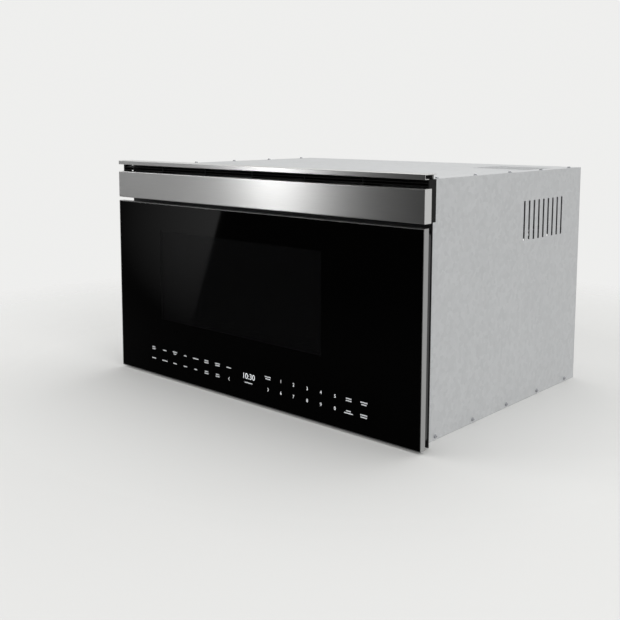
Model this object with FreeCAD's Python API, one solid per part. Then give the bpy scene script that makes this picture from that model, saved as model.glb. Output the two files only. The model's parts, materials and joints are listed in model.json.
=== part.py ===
"""Built-in microwave oven with a power-driven drawer, in millimetres.

Frame: origin at the bottom centre of the whole oven, +X to the viewer's right, +Y to the back, +Z up.
The front is made of a thin top strip, a dark vent slot, a stainless band and the drawer's black glass
front. The food tub hangs on the drawer front and slides into a sheet-metal cavity that lies left of
centre, with the magnetron, transformer and fan in a bay on its right. Two ball slides under the cavity
carry the drawer, and a gear motor drives it through a cross shaft, two pinions and two racks.
"""

import FreeCAD, Part
import math
import os

Vec = FreeCAD.Vector
X_AXIS = Vec(1, 0, 0)
Y_AXIS = Vec(0, 1, 0)
Z_AXIS = Vec(0, 0, 1)

# ---------------------------------------------------------------- the front's rows, from the top down
OVERALL_HEIGHT = 435.0
FRONT_WIDTH = 759.0
STRIP_HEIGHT = 8.0
SLOT_HEIGHT = 14.0
BAND_HEIGHT = 53.0
BAND_GAP = 7.0                 # dark gap between the band and the drawer front, which takes the rest
SHELF_REVEAL = 4.0             # gap between the drawer front and the shelf

# ---------------------------------------------------------------- chassis
OVERALL_DEPTH = 570.0
SHEET = 1.0                    # panels of the chassis, the cavity and the tub
FRONT_DEPTH = 30.0             # thickness of the drawer front
SEAL_GAP = 1.5                 # drawer front to front plate
PLATE = 1.5                    # front plate
PLATE_FOOT = 1.0               # its lower edge above the shelf
FLANGE_INSET = 7.0             # its edge in from the front's edge
SIDE_LAP = 22.0                # chassis side in from the front's edge, where the cabinet's side is
HEADER_RISE = 10.0             # strip above the chassis's cover
PANEL_RETURN = 12.0            # folded edges of the chassis panels
CLEAR = 0.3                    # between pieces that move past or lie beside each other
CUT = 1.0                      # how far a cutter runs past the piece it cuts

VENT_SLOT = 6.0                # slots in the panels
BAY_VENT_MARGIN = 23.5         # ends of the machine bay's slots in from its walls
BASE_VENTS = 8
BASE_VENT_SETBACK = 37.0
COVER_VENTS = 7
COVER_VENT_FROM_REAR = 165.0
BAY_VENT_PITCH = 14.0
SIDE_VENTS = 9
SIDE_VENT_PITCH = 18.0
SIDE_VENT_FROM_REAR = 225.0
SIDE_VENT_LENGTH = 72.0
SIDE_VENT_DROP = 53.0
REAR_VENT_COLUMNS = 4
REAR_VENT_ROWS = 3
REAR_VENT_LENGTH = 60.0
REAR_VENT_PITCH = 75.0
REAR_VENT_INSET = 36.5
REAR_VENT_LOW = 40.0

# ---------------------------------------------------------------- header
STRIP_EDGE = 0.8               # rounded front edges of the strip
STRIP_RETURN = 10.0
BAND_RETURN = 18.0             # folded edges behind the band
BAND_EDGE = 1.5                # its rounded front edges
RIB = 2.0                      # ribs and floor of the moulded header carrier
HEADER_RIBS = 7
LOUVRES = 2
LOUVRE_SETBACK = 12.0          # louvre blades behind the front
LOUVRE_DEPTH = 14.0
LOUVRE_RISE = 2.4
LOUVRE_THICK = 1.2
PLATE_VENTS = 7                # outlets through the front plate behind the band and slot
PLATE_VENT_WIDTH = 84.0
PLATE_VENT_HEIGHT = 28.0
PLATE_VENT_GAP = 6.0
PLATE_VENT_DROP = 8.0

# ---------------------------------------------------------------- drawer front, tub and cavity
TRAVEL = 380.0                 # how far the drawer opens

TUB_CENTRE_X = -37.5           # the window and the tub lie left of centre
TUB_WIDTH = 440.0              # inside
TUB_DEPTH = 400.0
TUB_BOTTOM = 110.0             # height of the tub's underside
TUB_DROP = 45.0                # its rim below the glass's top
TUB_CORNER = 22.0              # upright corners at the back
TUB_RIM = 2.5                  # fold along the tub's top edges
FLOOR_PLATE = 5.0              # ceramic floor in the tub
CAVITY_CLEAR = 5.0             # tub to cavity, all round
CAVITY_HEADROOM = 6.0          # tub rim to cavity ceiling
CAVITY_EDGE = 12.0             # lower edges of the cavity, its mouth and the choke
CAVITY_LIP = 9.0               # cavity's front flange on the front plate

WINDOW_SIDE = 8.0              # tub's side walls to the window's sides
WINDOW_LOW = 11.0              # tub's underside to the window's lower edge
WINDOW_HIGH = 8.5              # window's upper edge to the tub's rim
WINDOW_LAP = 4.0               # screen and inner glass past the window's edges

GLASS = 4.0
GLASS_BEVEL = 0.6
TRIM = 1.2                     # metal edge round the glass
TRIM_DEPTH = 12.0
FRAME_SHEET = 1.5              # drawer front's pressed frame
FRAME_INSET = 8.0              # its edge in from the glass's edge
FRAME_CORNER = 6.0
SCREEN = 0.6                   # perforated screen
INNER_GLASS = 4.0
CHOKE_WIDTH = 28.0             # cavity's side to the choke's outer edge
CHOKE_LAND = 13.0              # cavity's side to the groove
CHOKE_GROOVE = 6.0
CHOKE_GROOVE_DEPTH = 16.0
BUMPER_SIZE = 12.0
BUMPER_INSET = 34.0

KEY_MARGIN = 87.5              # touch-key board's ends in from the front's edges
KEY_BOARD_LOW = 20.0           # its lower edge above the glass's lower edge
KEY_BOARD_HEIGHT = 48.0
KEY_BOARD = 2.0
DISPLAY_WIDTH = 68.0
DISPLAY_DEPTH = 9.0
DISPLAY_EDGE = 3.0
CONNECTOR_LENGTH = 36.0
CONNECTOR_SIZE = 10.0
CONNECTOR_INSET = 56.0

# ---------------------------------------------------------------- ball slides
SLIDE_HEIGHT = 45.0
SLIDE_WIDTH = 12.7             # three members side by side
SLIDE_CENTRE_Z = 50.0
SLIDE_OUTSET = 5.0             # slide's outer face past the tub's inside
SLIDE_SETBACK = 5.0            # behind the front plate
SLIDE_LENGTH = 430.0
SLIDE_SHEET = 1.2
SLIDE_LIP = 2.0
SLIDE_STAGGER = 5.0            # middle member shorter at each end
BALL_RADIUS = 2.0
BALL_PLAY = 0.05
BALLS_PER_ROW = 2
CAGE_LENGTH = 205.0
CAGE_SETBACK = 107.0           # cage's front end, behind the slide's front end
CAGE_SHEET = 0.5
CAGE_PLAY = 0.2                # cage to the webs beside it
SLIDE_PLAY = 0.5               # inner member past the fixed member's edge
SLIDE_BRACKET = 1.5
SLIDE_FOOT = 16.0
ARM_SHEET = 3.0
ARM_HEIGHT = 40.0
ARM_TAB = 18.0
ARM_REAR_CUT = 14.0
PLATE_SLOT_CLEAR = 2.0         # arm, slide and tongues to the edges of their slots

# ---------------------------------------------------------------- drive
RACK_MODULE = 3.0
PINION_TEETH = 12
ADDENDUM = 0.7                 # of every gear and rack, in modules
DEDENDUM = 1.0
RACK_WIDTH = 8.0
RACK_BACK = 7.0                # metal above the rack's teeth
RACK_FIRST_TOOTH = -2          # teeth in front of the closed pinion
GEAR_MODULE = 2.0
SHAFT_GEAR_TEETH = 21
MOTOR_PINION_TEETH = 12
PINION_OVERLAP = 1.0           # motor pinion past the shaft gear's faces
GEAR_WIDTH = 6.0
PRESSURE_ANGLE = 20.0
BACKLASH = 0.10                # taken off each tooth's thickness, in modules
SHAFT_RADIUS = 4.0
SHAFT_CENTRE_Z = 24.0
SHAFT_SETBACK = 42.0           # behind the front plate
BEARING_INSET = 14.8           # bearing bracket in from the rack
SHAFT_GEAR_INSET = 66.0        # shaft gear in from the bearing bracket
BEARING_SHEET = 2.0
BEARING_LENGTH = 44.0
BEARING_SHOULDER = 10.0
BEARING_FOOT = 16.0
BUSH_SIZE = 16.0
BUSH_LENGTH = 8.0
BUSH_PLAY = 0.05
MOTOR_RADIUS = 15.0
MOTOR_LENGTH = 58.0
GEARBOX_SIZE = 38.0
GEARBOX_LENGTH = 20.0
GEARBOX_TO_GEAR = 9.0
GEARBOX_BORE_DEPTH = 4.0
MOTOR_SHAFT_RADIUS = 2.5
MOTOR_SHAFT_HOLE = 14.0

# ---------------------------------------------------------------- microwave feed and air outlets
DOME_SIZE = 190.0              # raised box in the ceiling for the stirrer
DOME_HEIGHT = 26.0
COVER_LAP = 8.0
STIRRER_RADIUS = 72.0
STIRRER_BLADES = 3
STIRRER_BLADE_WIDTH = 34.0
STIRRER_WING = 12.0            # turned-up end of each blade
STIRRER_WING_ANGLE = 28.0
STIRRER_HUB = 20.0
STIRRER_SHAFT_RADIUS = 3.0
STIRRER_HOLE_CLEAR = 2.0
GUIDE_WIDTH = 96.0             # waveguide, front to back
GUIDE_HEIGHT = 40.0
GUIDE_OVERHANG = 60.0          # past the stirrer's axis
FEED_WIDTH = 30.0
FEED_LENGTH = 70.0
STIRRER_MOTOR_RADIUS = 24.0
STIRRER_MOTOR_HEIGHT = 15.0
STIRRER_MOTOR_EAR = 10.0
STIRRER_MOTOR_CAP = 3.0
OUTLETS = 14                   # air outlets in the cavity's ceiling
OUTLET_PITCH = 22.0
OUTLET_WIDTH = 10.0
OUTLET_LENGTH = 30.0
OUTLET_SETBACK = 26.0
DUCT_MARGIN = 22.0             # duct's walls past the outlets
DUCT_THROAT = 34.0
DUCT_STEP = 16.0
DUCT_DROP = 3.0

# ---------------------------------------------------------------- machine bay
MAGNETRON_WIDTH = 88.0
MAGNETRON_DEPTH = 80.0
MAGNETRON_HEIGHT = 88.0
MAGNETRON_SHEET = 2.0
MAGNETRON_FINS = 5
FIN_SHEET = 0.8
FIN_SETBACK = 3.0
ANODE_SIZE = 30.0
ANTENNA_RADIUS = 8.0
ANTENNA_HEIGHT = 24.0
ANTENNA_CLEAR = 2.0
FILTER_HEIGHT = 42.0
FILTER_DEPTH = 54.0
PLUG_SIZE = 18.0
PLUG_DEPTH = 9.0

CORE_WIDTH = 105.0             # transformer
CORE_DEPTH = 62.0
CORE_HEIGHT = 88.0
CORE_LEG = 17.0
CORE_FOOT = 12.0
CORE_FOOT_SHEET = 2.0
CORE_FOOT_INSET = 4.0
CORE_SIDE_GAP = 8.0            # foot to the chassis's side
COIL_PROUD = 16.0
COIL_CORNER = 7.0
COIL_GAP = 2.0
TRANSFORMER_Y = 20.0

CAPACITOR_WIDTH = 52.0
CAPACITOR_LENGTH = 90.0
CAPACITOR_HEIGHT = 33.0
CAPACITOR_ROUND = 15.0
CAPACITOR_GAP = 31.0           # behind the transformer
TERMINAL_WIDTH = 6.3
TERMINAL_LENGTH = 9.0
TERMINAL_SHEET = 1.0
TERMINAL_PITCH = 24.0

MAINS_BOARD_LENGTH = 90.0      # mains filter
MAINS_BOARD_DEPTH = 60.0
MAINS_BOARD_RISE = 8.0
MAINS_BOARD_GAP = 18.0         # in front of the rear panel
MAINS_BOARD_TO_CORD = 10.0
CARRIER_SHEET = 2.0
BOARD = 1.6
CHOKE_COIL = 30.0
CHOKE_COIL_HEIGHT = 18.0
MAINS_CAPACITOR = 14.0
FUSE_LENGTH = 26.0
FUSE_WIDTH = 10.0
MAINS_PART_PLACES = (0.24, 0.60, 0.84)         # choke, capacitor and fuse, as shares of the board's length

POWER_BOARD_LENGTH = 200.0
POWER_BOARD_HEIGHT = 160.0
POWER_BOARD_Y = -40.0
POWER_BOARD_Z = 220.0
BOARD_POST = 10.0
BOARD_POST_SIZE = 7.0
BOARD_POST_INSET = 8.0
BOARD_MARGIN = 20.0
RELAYS = 5
RELAY_PITCH = 26.0
RELAY_LENGTH = 20.0
RELAY_HEIGHT = 26.0
RELAY_DEPTH = 17.0
BOARD_TRANSFORMER = 40.0
BOARD_TRANSFORMER_DEPTH = 28.0
BOARD_CAPACITOR = 9.0
BOARD_CAPACITOR_LENGTH = 22.0
BOARD_PLUG = 30.0
BOARD_PLUG_DEPTH = 11.0

LAMP_FROM_REAR = 73.0
LAMP_FROM_TOP = 44.0
LAMP_CASE = 40.0
LAMP_CASE_DEPTH = 34.0
LAMP_BACK = 5.0
LAMP_OPENING = 22.0
LAMP_BULB = 6.0
LAMP_BULB_SETBACK = 6.0

FAN_Z = 232.0
FAN_BORE_RADIUS = 66.0
FAN_TIP_GAP = 2.5
FAN_FRAME = 146.0
FAN_FRAME_CORNER = 12.0
FAN_DEPTH = 26.0
FAN_WHEEL_FRONT_GAP = 6.0
FAN_WHEEL_REAR_GAP = 3.0
FAN_BLADES = 6
FAN_BLADE = 1.4
FAN_BLADE_CHORD = 34.0
FAN_BLADE_ROOT = 12.0
FAN_BLADE_SHOULDER = 4.0
FAN_PITCH = 28.0
FAN_HUB_RADIUS = 17.0
FAN_STRUT = 6.0
FAN_STRUT_DEPTH = 3.0
FAN_MOTOR_SIZE = 50.0
FAN_MOTOR_LENGTH = 22.0
FAN_COIL_PROUD = 12.0
FAN_CAP = 8.0
FAN_NOSE = 4.0
FAN_SHAFT_RADIUS = 3.0
FAN_GRILLE_BARS = 7
FAN_GRILLE_EDGE = 4.0
FAN_GRILLE_OPEN = 0.55         # open share of the grille's pitch
FAN_GRILLE_POST = 6.0

# ---------------------------------------------------------------- interlocks
TONGUE_LEFT_INSET = 49.5       # tongues in from the front's edges
TONGUE_RIGHT_INSET = 117.5
TONGUE_Z = 215.0
TONGUE_LENGTH = 34.0
TONGUE_THICK = 4.0
TONGUE_HEIGHT = 8.0
TONGUE_NOSE = 5.0
TONGUE_TIP = 2.0
TONGUE_FOOT = 16.0
TONGUE_FOOT_SHEET = 1.2
LEVER_LENGTH = 24.0
LEVER_THICK = 0.6
LEVER_HEIGHT = 6.0
LEVER_EYE = 4.0
LEVER_PIVOT_OFFSET = 18.0      # pivot's distance from the tongue, towards the left
LEVER_PIN_RADIUS = 1.0
SWITCH_WIDTH = 28.0
SWITCH_DEPTH = 15.0
SWITCH_HEIGHT = 10.0
SWITCH_GAP = 2.5               # lever to the switch's body
SWITCH_INSET = 5.0             # pivot to the switch's body
SWITCH_EAR = 1.5
SWITCH_EAR_LAP = 5.0
PLUNGER = 3.0
PLUNGER_INSET = 12.0
SWITCH_BRACKET = 1.5
SWITCH_BRACKET_TAB = 16.0

# ---------------------------------------------------------------- fixing holes and cord entry
MOUNT_HOLE_RADIUS = 2.5
MOUNT_EDGE = 7.5               # hole centres in from the front plate's sides
MOUNT_LOW_Z = 55.0
MOUNT_HIGH_DROP = 60.0         # upper holes under the strip's top

CORD_FROM_SIDE = 151.5         # cord hole in from the chassis's side
CORD_HOLE_Z = 62.0
CORD_BUSH_SIZE = 20.0
CORD_BUSH_CATCH = 2.0
CORD_BUSH_CATCH_DEPTH = 3.0
CORD_BORE_RADIUS = 4.6
CORD_BUSH_LENGTH = 16.0

# ---------------------------------------------------------------- places worked out from them
HALF_FRONT = FRONT_WIDTH / 2
FACE_Y = -OVERALL_DEPTH / 2
FRONT_BACK_Y = FACE_Y + FRONT_DEPTH
PLATE_Y = FRONT_BACK_Y + SEAL_GAP
INSIDE_Y = PLATE_Y + PLATE
REAR_Y = OVERALL_DEPTH / 2
REAR_INSIDE_Y = REAR_Y - SHEET

GLASS_BOTTOM = SHELF_REVEAL
GLASS_BACK_Y = FACE_Y + GLASS
STRIP_TOP = OVERALL_HEIGHT
STRIP_BOTTOM = STRIP_TOP - STRIP_HEIGHT
BAND_TOP = STRIP_BOTTOM - SLOT_HEIGHT
BAND_BOTTOM = BAND_TOP - BAND_HEIGHT
GLASS_TOP = BAND_BOTTOM - BAND_GAP

HALF_FLANGE = HALF_FRONT - FLANGE_INSET
HALF_CHASSIS = HALF_FRONT - SIDE_LAP
HALF_INSIDE = HALF_CHASSIS - SHEET
CHASSIS_HEIGHT = STRIP_TOP - HEADER_RISE
COVER_BOTTOM = CHASSIS_HEIGHT - SHEET

SCREEN_Y = GLASS_BACK_Y + FRAME_SHEET
INNER_GLASS_Y = SCREEN_Y + SCREEN
TUB_FRONT_Y = INNER_GLASS_Y + INNER_GLASS
TUB_REAR_Y = TUB_FRONT_Y + TUB_DEPTH + 2 * SHEET
TUB_TOP = GLASS_TOP - TUB_DROP
TUB_HALF = TUB_WIDTH / 2 + SHEET
CAVITY_HALF = TUB_HALF + CAVITY_CLEAR
CAVITY_BOTTOM = TUB_BOTTOM - CAVITY_CLEAR
CAVITY_TOP = TUB_TOP + CAVITY_HEADROOM
CAVITY_REAR_Y = TUB_REAR_Y + CAVITY_CLEAR
CAVITY_CENTRE_Y = (INSIDE_Y + CAVITY_REAR_Y) / 2
CAVITY_RIGHT_X = TUB_CENTRE_X + CAVITY_HALF + SHEET
BAY_X = (CAVITY_RIGHT_X + HALF_INSIDE) / 2     # middle of the machine bay
BAY_VENT_LENGTH = HALF_INSIDE - CAVITY_RIGHT_X - 2 * BAY_VENT_MARGIN

SLIDE_HALF_TRACK = TUB_WIDTH / 2 + SLIDE_OUTSET
SLIDE_FRONT_Y = INSIDE_Y + SLIDE_SETBACK
SLIDE_REAR_Y = SLIDE_FRONT_Y + SLIDE_LENGTH
INNER_REAR_Y = SLIDE_REAR_Y - 2 * SLIDE_STAGGER
SLIDE_NEAR = SLIDE_HALF_TRACK - SLIDE_WIDTH     # inboard edge of the fixed member's flanges
INNER_WEB_TRACK = SLIDE_NEAR - SLIDE_PLAY       # inboard face of the inner member
ARM_TRACK = INNER_WEB_TRACK - ARM_SHEET         # inboard face of the arm
RACK_TRACK = ARM_TRACK - RACK_WIDTH             # inboard face of the rack
CAGE_FRONT_Y = SLIDE_FRONT_Y + CAGE_SETBACK
ARM_BOTTOM = SLIDE_CENTRE_Z - ARM_HEIGHT / 2
ARM_TOP = SLIDE_CENTRE_Z + ARM_HEIGHT / 2

RACE = 2 * BALL_RADIUS + 2 * BALL_PLAY
FIXED_HALF = SLIDE_HEIGHT / 2
MIDDLE_HALF = FIXED_HALF - SLIDE_SHEET - RACE
INNER_HALF = MIDDLE_HALF - SLIDE_SHEET - RACE
FIXED_WEB = (SLIDE_HALF_TRACK - SLIDE_SHEET, SLIDE_HALF_TRACK)
OUTER_CAGE_WEB = (FIXED_WEB[0] - CAGE_PLAY - CAGE_SHEET, FIXED_WEB[0] - CAGE_PLAY)
MIDDLE_WEB = (OUTER_CAGE_WEB[0] - CAGE_PLAY - SLIDE_SHEET, OUTER_CAGE_WEB[0] - CAGE_PLAY)
INNER_CAGE_WEB = (MIDDLE_WEB[0] - CAGE_PLAY - CAGE_SHEET, MIDDLE_WEB[0] - CAGE_PLAY)
INNER_FLANGE_FAR = INNER_CAGE_WEB[0] - CAGE_PLAY
RACE_NEAR = SLIDE_NEAR + SLIDE_SHEET + CLEAR    # inboard edge of the middle member and the cages

PINION_RADIUS = RACK_MODULE * PINION_TEETH / 2
RACK_PITCH = RACK_MODULE * math.pi
SHAFT_Y = INSIDE_Y + SHAFT_SETBACK
RACK_PITCH_Z = SHAFT_CENTRE_Z + PINION_RADIUS
RACK_ROOT_Z = RACK_PITCH_Z + DEDENDUM * RACK_MODULE
RACK_TOP_Z = RACK_ROOT_Z + RACK_BACK
RACK_REAR_Y = SHAFT_Y + TRAVEL + 2 * RACK_PITCH
BEARING_TRACK = RACK_TRACK - BEARING_INSET
GEAR_CENTRES = GEAR_MODULE * (SHAFT_GEAR_TEETH + MOTOR_PINION_TEETH) / 2
MOTOR_Y = SHAFT_Y + GEAR_CENTRES
GEAR_X = TUB_CENTRE_X + BEARING_TRACK - SHAFT_GEAR_INSET
GEARBOX_FACE_X = GEAR_X - GEARBOX_TO_GEAR

DOME_BOTTOM = CAVITY_TOP + SHEET
DOME_TOP = DOME_BOTTOM + DOME_HEIGHT
GUIDE_TOP = DOME_TOP + GUIDE_HEIGHT
STIRRER_Y = CAVITY_CENTRE_Y
STIRRER_LOW = DOME_BOTTOM + CAVITY_CLEAR
MAGNETRON_X = BAY_X
MAGNETRON_BOTTOM = DOME_TOP - MAGNETRON_HEIGHT
GUIDE_RIGHT_X = MAGNETRON_X + MAGNETRON_WIDTH / 2
OUTLET_SPAN = (OUTLETS - 1) * OUTLET_PITCH + OUTLET_WIDTH
DUCT_BACK_Y = INSIDE_Y + OUTLET_SETBACK + OUTLET_LENGTH + DUCT_MARGIN

TRANSFORMER_X = HALF_INSIDE - CORE_SIDE_GAP - CORE_FOOT - CORE_WIDTH / 2
CORE_LOW = SHEET + CORE_FOOT_SHEET
CORE_WINDOW = (CORE_WIDTH - 4 * CORE_LEG) / 2
CAPACITOR_Y = TRANSFORMER_Y + CORE_DEPTH / 2 + CAPACITOR_GAP
LAMP_Y = CAVITY_REAR_Y - LAMP_FROM_REAR
LAMP_Z = CAVITY_TOP - LAMP_FROM_TOP
FAN_X = BAY_X
FAN_FRONT_Y = REAR_INSIDE_Y - FAN_DEPTH
CORD_HOLE_X = HALF_INSIDE - CORD_FROM_SIDE

TONGUES = (TONGUE_LEFT_INSET - HALF_FRONT, HALF_FRONT - TONGUE_RIGHT_INSET)
TONGUE_END_Y = FRONT_BACK_Y + TONGUE_LENGTH
LEVER_Y = TONGUE_END_Y + CLEAR
LEVER_PIN_Y = LEVER_Y + LEVER_EYE / 2
SWITCH_Y = LEVER_Y + LEVER_THICK + SWITCH_GAP

MOUNT_X = HALF_FLANGE - MOUNT_EDGE
MOUNT_HIGH_Z = STRIP_TOP - MOUNT_HIGH_DROP


# ---------------------------------------------------------------- small modelling helpers
def block(x, y, z):
    """A box from three (low, high) ranges."""
    return Part.makeBox(x[1] - x[0], y[1] - y[0], z[1] - z[0], Vec(x[0], y[0], z[0]))


def around(centre, size):
    """The (low, high) range of a size centred on a value."""
    return (centre - size / 2, centre + size / 2)


def grown(span, margin):
    """A (low, high) range made longer, or shorter by a negative margin, at both ends."""
    return (span[0] - margin, span[1] + margin)


def rod(radius, length, start, axis):
    return Part.makeCylinder(radius, length, start, axis)


def fused(shapes):
    """One solid from several that touch."""
    whole = shapes[0]
    for shape in shapes[1:]:
        whole = whole.fuse(shape)
    return whole.removeSplitter()


def without(shape, tools):
    for tool in tools:
        shape = shape.cut(tool)
    return shape


def prism(points, origin, span):
    """A polygon of 3-D points, swept along the vector span."""
    corners = [origin + p for p in points]
    wire = Part.makePolygon(corners + corners[:1])
    return Part.Face(wire).extrude(span)


def prism_x(points, x):
    """An outline of (y, z) points, swept from x[0] to x[1]."""
    return prism([Vec(0, y, z) for y, z in points], Vec(x[0], 0, 0), X_AXIS * (x[1] - x[0]))


def edges_along(shape, axis, keep=lambda middle: True):
    """Straight edges of a shape that run along an axis, picked by the place of their middle."""
    found = []
    for edge in shape.Edges:
        if not isinstance(edge.Curve, Part.Line):
            continue
        start, end = edge.Vertexes[0].Point, edge.Vertexes[-1].Point
        if (end - start).cross(axis).Length < 1e-6 and keep((start + end) * 0.5):
            found.append(edge)
    return found


def rounded(shape, radius, axis, keep=lambda middle: True):
    return shape.makeFillet(radius, edges_along(shape, axis, keep))


def bevelled(shape, size, axis):
    return shape.makeChamfer(size, edges_along(shape, axis))


def mirrored_about(shape, x):
    return shape.mirror(Vec(x, 0, 0), X_AXIS)


def both_sides(shape):
    """A shape and its mirror image about the tub's centre line, as two solids."""
    return Part.makeCompound([shape, mirrored_about(shape, TUB_CENTRE_X)])


def row(first, count, step):
    """Copies of a shape, each a step further than the one before."""
    return [first.translated(step * i) for i in range(count)]


def cavity_tunnel(grow, y):
    """The cavity's inside, made bigger all round and rounded along its lower edges."""
    z = (CAVITY_BOTTOM - grow, CAVITY_TOP + grow)
    passage = block(around(TUB_CENTRE_X, 2 * (CAVITY_HALF + grow)), y, z)
    return rounded(passage, CAVITY_EDGE, Y_AXIS, lambda p: p.z < CAVITY_TOP)


# ---------------------------------------------------------------- chassis panels
def base_pan():
    """Floor pan with folded-up edges and vent slots under the machine bay."""
    outer = block((-HALF_INSIDE, HALF_INSIDE), (INSIDE_Y, REAR_INSIDE_Y), (0, PANEL_RETURN))
    hollow = block((SHEET - HALF_INSIDE, HALF_INSIDE - SHEET), (INSIDE_Y - CUT, REAR_INSIDE_Y - SHEET),
                   (SHEET, PANEL_RETURN + CUT))
    slot_y = INSIDE_Y + BASE_VENT_SETBACK
    slot = block(around(BAY_X, BAY_VENT_LENGTH), (slot_y, slot_y + VENT_SLOT), (-CUT, SHEET + CUT))
    return without(outer, [hollow] + row(slot, BASE_VENTS, Y_AXIS * BAY_VENT_PITCH))


def side_panel(side):
    """Outer side panel, with a return at the top that carries the cover and a row of vent slots."""
    x = sorted((side * HALF_INSIDE, side * HALF_CHASSIS))
    fold = sorted((side * (HALF_INSIDE - PANEL_RETURN), side * HALF_INSIDE))
    wall = block(x, (INSIDE_Y, REAR_Y), (0, COVER_BOTTOM))
    top = block(fold, (INSIDE_Y, REAR_INSIDE_Y), (COVER_BOTTOM - SHEET, COVER_BOTTOM))
    slot_y = REAR_Y - SIDE_VENT_FROM_REAR
    slot_top = CHASSIS_HEIGHT - SIDE_VENT_DROP
    slot = block(grown(x, CUT), (slot_y, slot_y + VENT_SLOT), (slot_top - SIDE_VENT_LENGTH, slot_top))
    return without(fused([wall, top]), row(slot, SIDE_VENTS, Y_AXIS * SIDE_VENT_PITCH))


def top_cover():
    """Flat cover over the sides and the back, with vent slots over the machine bay."""
    plate = block((-HALF_CHASSIS, HALF_CHASSIS), (INSIDE_Y, REAR_Y), (COVER_BOTTOM, CHASSIS_HEIGHT))
    slot_y = REAR_Y - COVER_VENT_FROM_REAR
    slot = block(around(BAY_X, BAY_VENT_LENGTH), (slot_y, slot_y + VENT_SLOT),
                 grown((COVER_BOTTOM, CHASSIS_HEIGHT), CUT))
    return without(plate, row(slot, COVER_VENTS, Y_AXIS * BAY_VENT_PITCH))


def rear_panel():
    """Back panel between the sides, with the fan's intake grille, low vents and the cord hole."""
    through = grown((REAR_INSIDE_Y, REAR_Y), CUT)
    panel = block((-HALF_INSIDE, HALF_INSIDE), (REAR_INSIDE_Y, REAR_Y), (0, COVER_BOTTOM))
    reach = FAN_BORE_RADIUS - FAN_GRILLE_EDGE
    pitch = 2 * reach / FAN_GRILLE_BARS
    intake = []
    for i in range(FAN_GRILLE_BARS):
        height = (i - (FAN_GRILLE_BARS - 1) / 2) * pitch
        half = math.sqrt(reach ** 2 - height ** 2)
        z = around(FAN_Z + height, pitch * FAN_GRILLE_OPEN)
        intake.append(block((FAN_X - half, FAN_X - FAN_GRILLE_POST / 2), through, z))
        intake.append(block((FAN_X + FAN_GRILLE_POST / 2, FAN_X + half), through, z))
    first_x = REAR_VENT_INSET - HALF_INSIDE
    first = block((first_x, first_x + REAR_VENT_LENGTH), through, (REAR_VENT_LOW, REAR_VENT_LOW + VENT_SLOT))
    low = []
    for slot in row(first, REAR_VENT_ROWS, Z_AXIS * BAY_VENT_PITCH):
        low += row(slot, REAR_VENT_COLUMNS, X_AXIS * REAR_VENT_PITCH)
    cord = block(around(CORD_HOLE_X, CORD_BUSH_SIZE), through, around(CORD_HOLE_Z, CORD_BUSH_SIZE))
    return without(panel, intake + low + [cord])


def cord_bushing():
    """Snap-in gland where the supply cord enters: a square body with a catch inside the back panel."""
    y = (REAR_Y - CORD_BUSH_LENGTH, REAR_Y)
    body = block(around(CORD_HOLE_X, CORD_BUSH_SIZE), y, around(CORD_HOLE_Z, CORD_BUSH_SIZE))
    catch_y = (REAR_INSIDE_Y - CORD_BUSH_CATCH_DEPTH, REAR_INSIDE_Y)
    catches = block(around(CORD_HOLE_X, CORD_BUSH_SIZE + 2 * CORD_BUSH_CATCH), catch_y,
                    around(CORD_HOLE_Z, CORD_BUSH_SIZE / 2))
    bore = rod(CORD_BORE_RADIUS, CORD_BUSH_LENGTH + 2 * CUT, Vec(CORD_HOLE_X, y[0] - CUT, CORD_HOLE_Z), Y_AXIS)
    return without(fused([body, catches]), [bore])


def front_plate():
    """Stiff plate that the drawer closes on: it laps the cabinet and carries its fixing holes."""
    plate = block((-HALF_FLANGE, HALF_FLANGE), (PLATE_Y, INSIDE_Y), (PLATE_FOOT, STRIP_TOP - SHEET))
    through = grown((PLATE_Y, INSIDE_Y), CUT)
    slide_slot = block((TUB_CENTRE_X + ARM_TRACK - ARM_TAB - PLATE_SLOT_CLEAR,
                        TUB_CENTRE_X + SLIDE_HALF_TRACK + SLIDE_BRACKET + PLATE_SLOT_CLEAR),
                       through, around(SLIDE_CENTRE_Z, SLIDE_HEIGHT + 2 * PLATE_SLOT_CLEAR))
    tools = [cavity_tunnel(0, through), slide_slot, mirrored_about(slide_slot, TUB_CENTRE_X)]
    for x in TONGUES:
        tools.append(block(around(x, TONGUE_THICK + 2 * PLATE_SLOT_CLEAR), through,
                           around(TONGUE_Z, TONGUE_HEIGHT + 2 * PLATE_SLOT_CLEAR)))
    pitch = PLATE_VENT_WIDTH + PLATE_VENT_GAP
    vent_top = BAND_TOP - PLATE_VENT_DROP
    vent = block(around(-pitch * (PLATE_VENTS - 1) / 2, PLATE_VENT_WIDTH), through,
                 (vent_top - PLATE_VENT_HEIGHT, vent_top))
    tools += row(vent, PLATE_VENTS, X_AXIS * pitch)
    for x in (-MOUNT_X, MOUNT_X):
        for z in (MOUNT_LOW_Z, MOUNT_HIGH_Z):
            tools.append(rod(MOUNT_HOLE_RADIUS, PLATE + 2 * CUT, Vec(x, through[0], z), Y_AXIS))
    return without(plate, tools)


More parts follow.
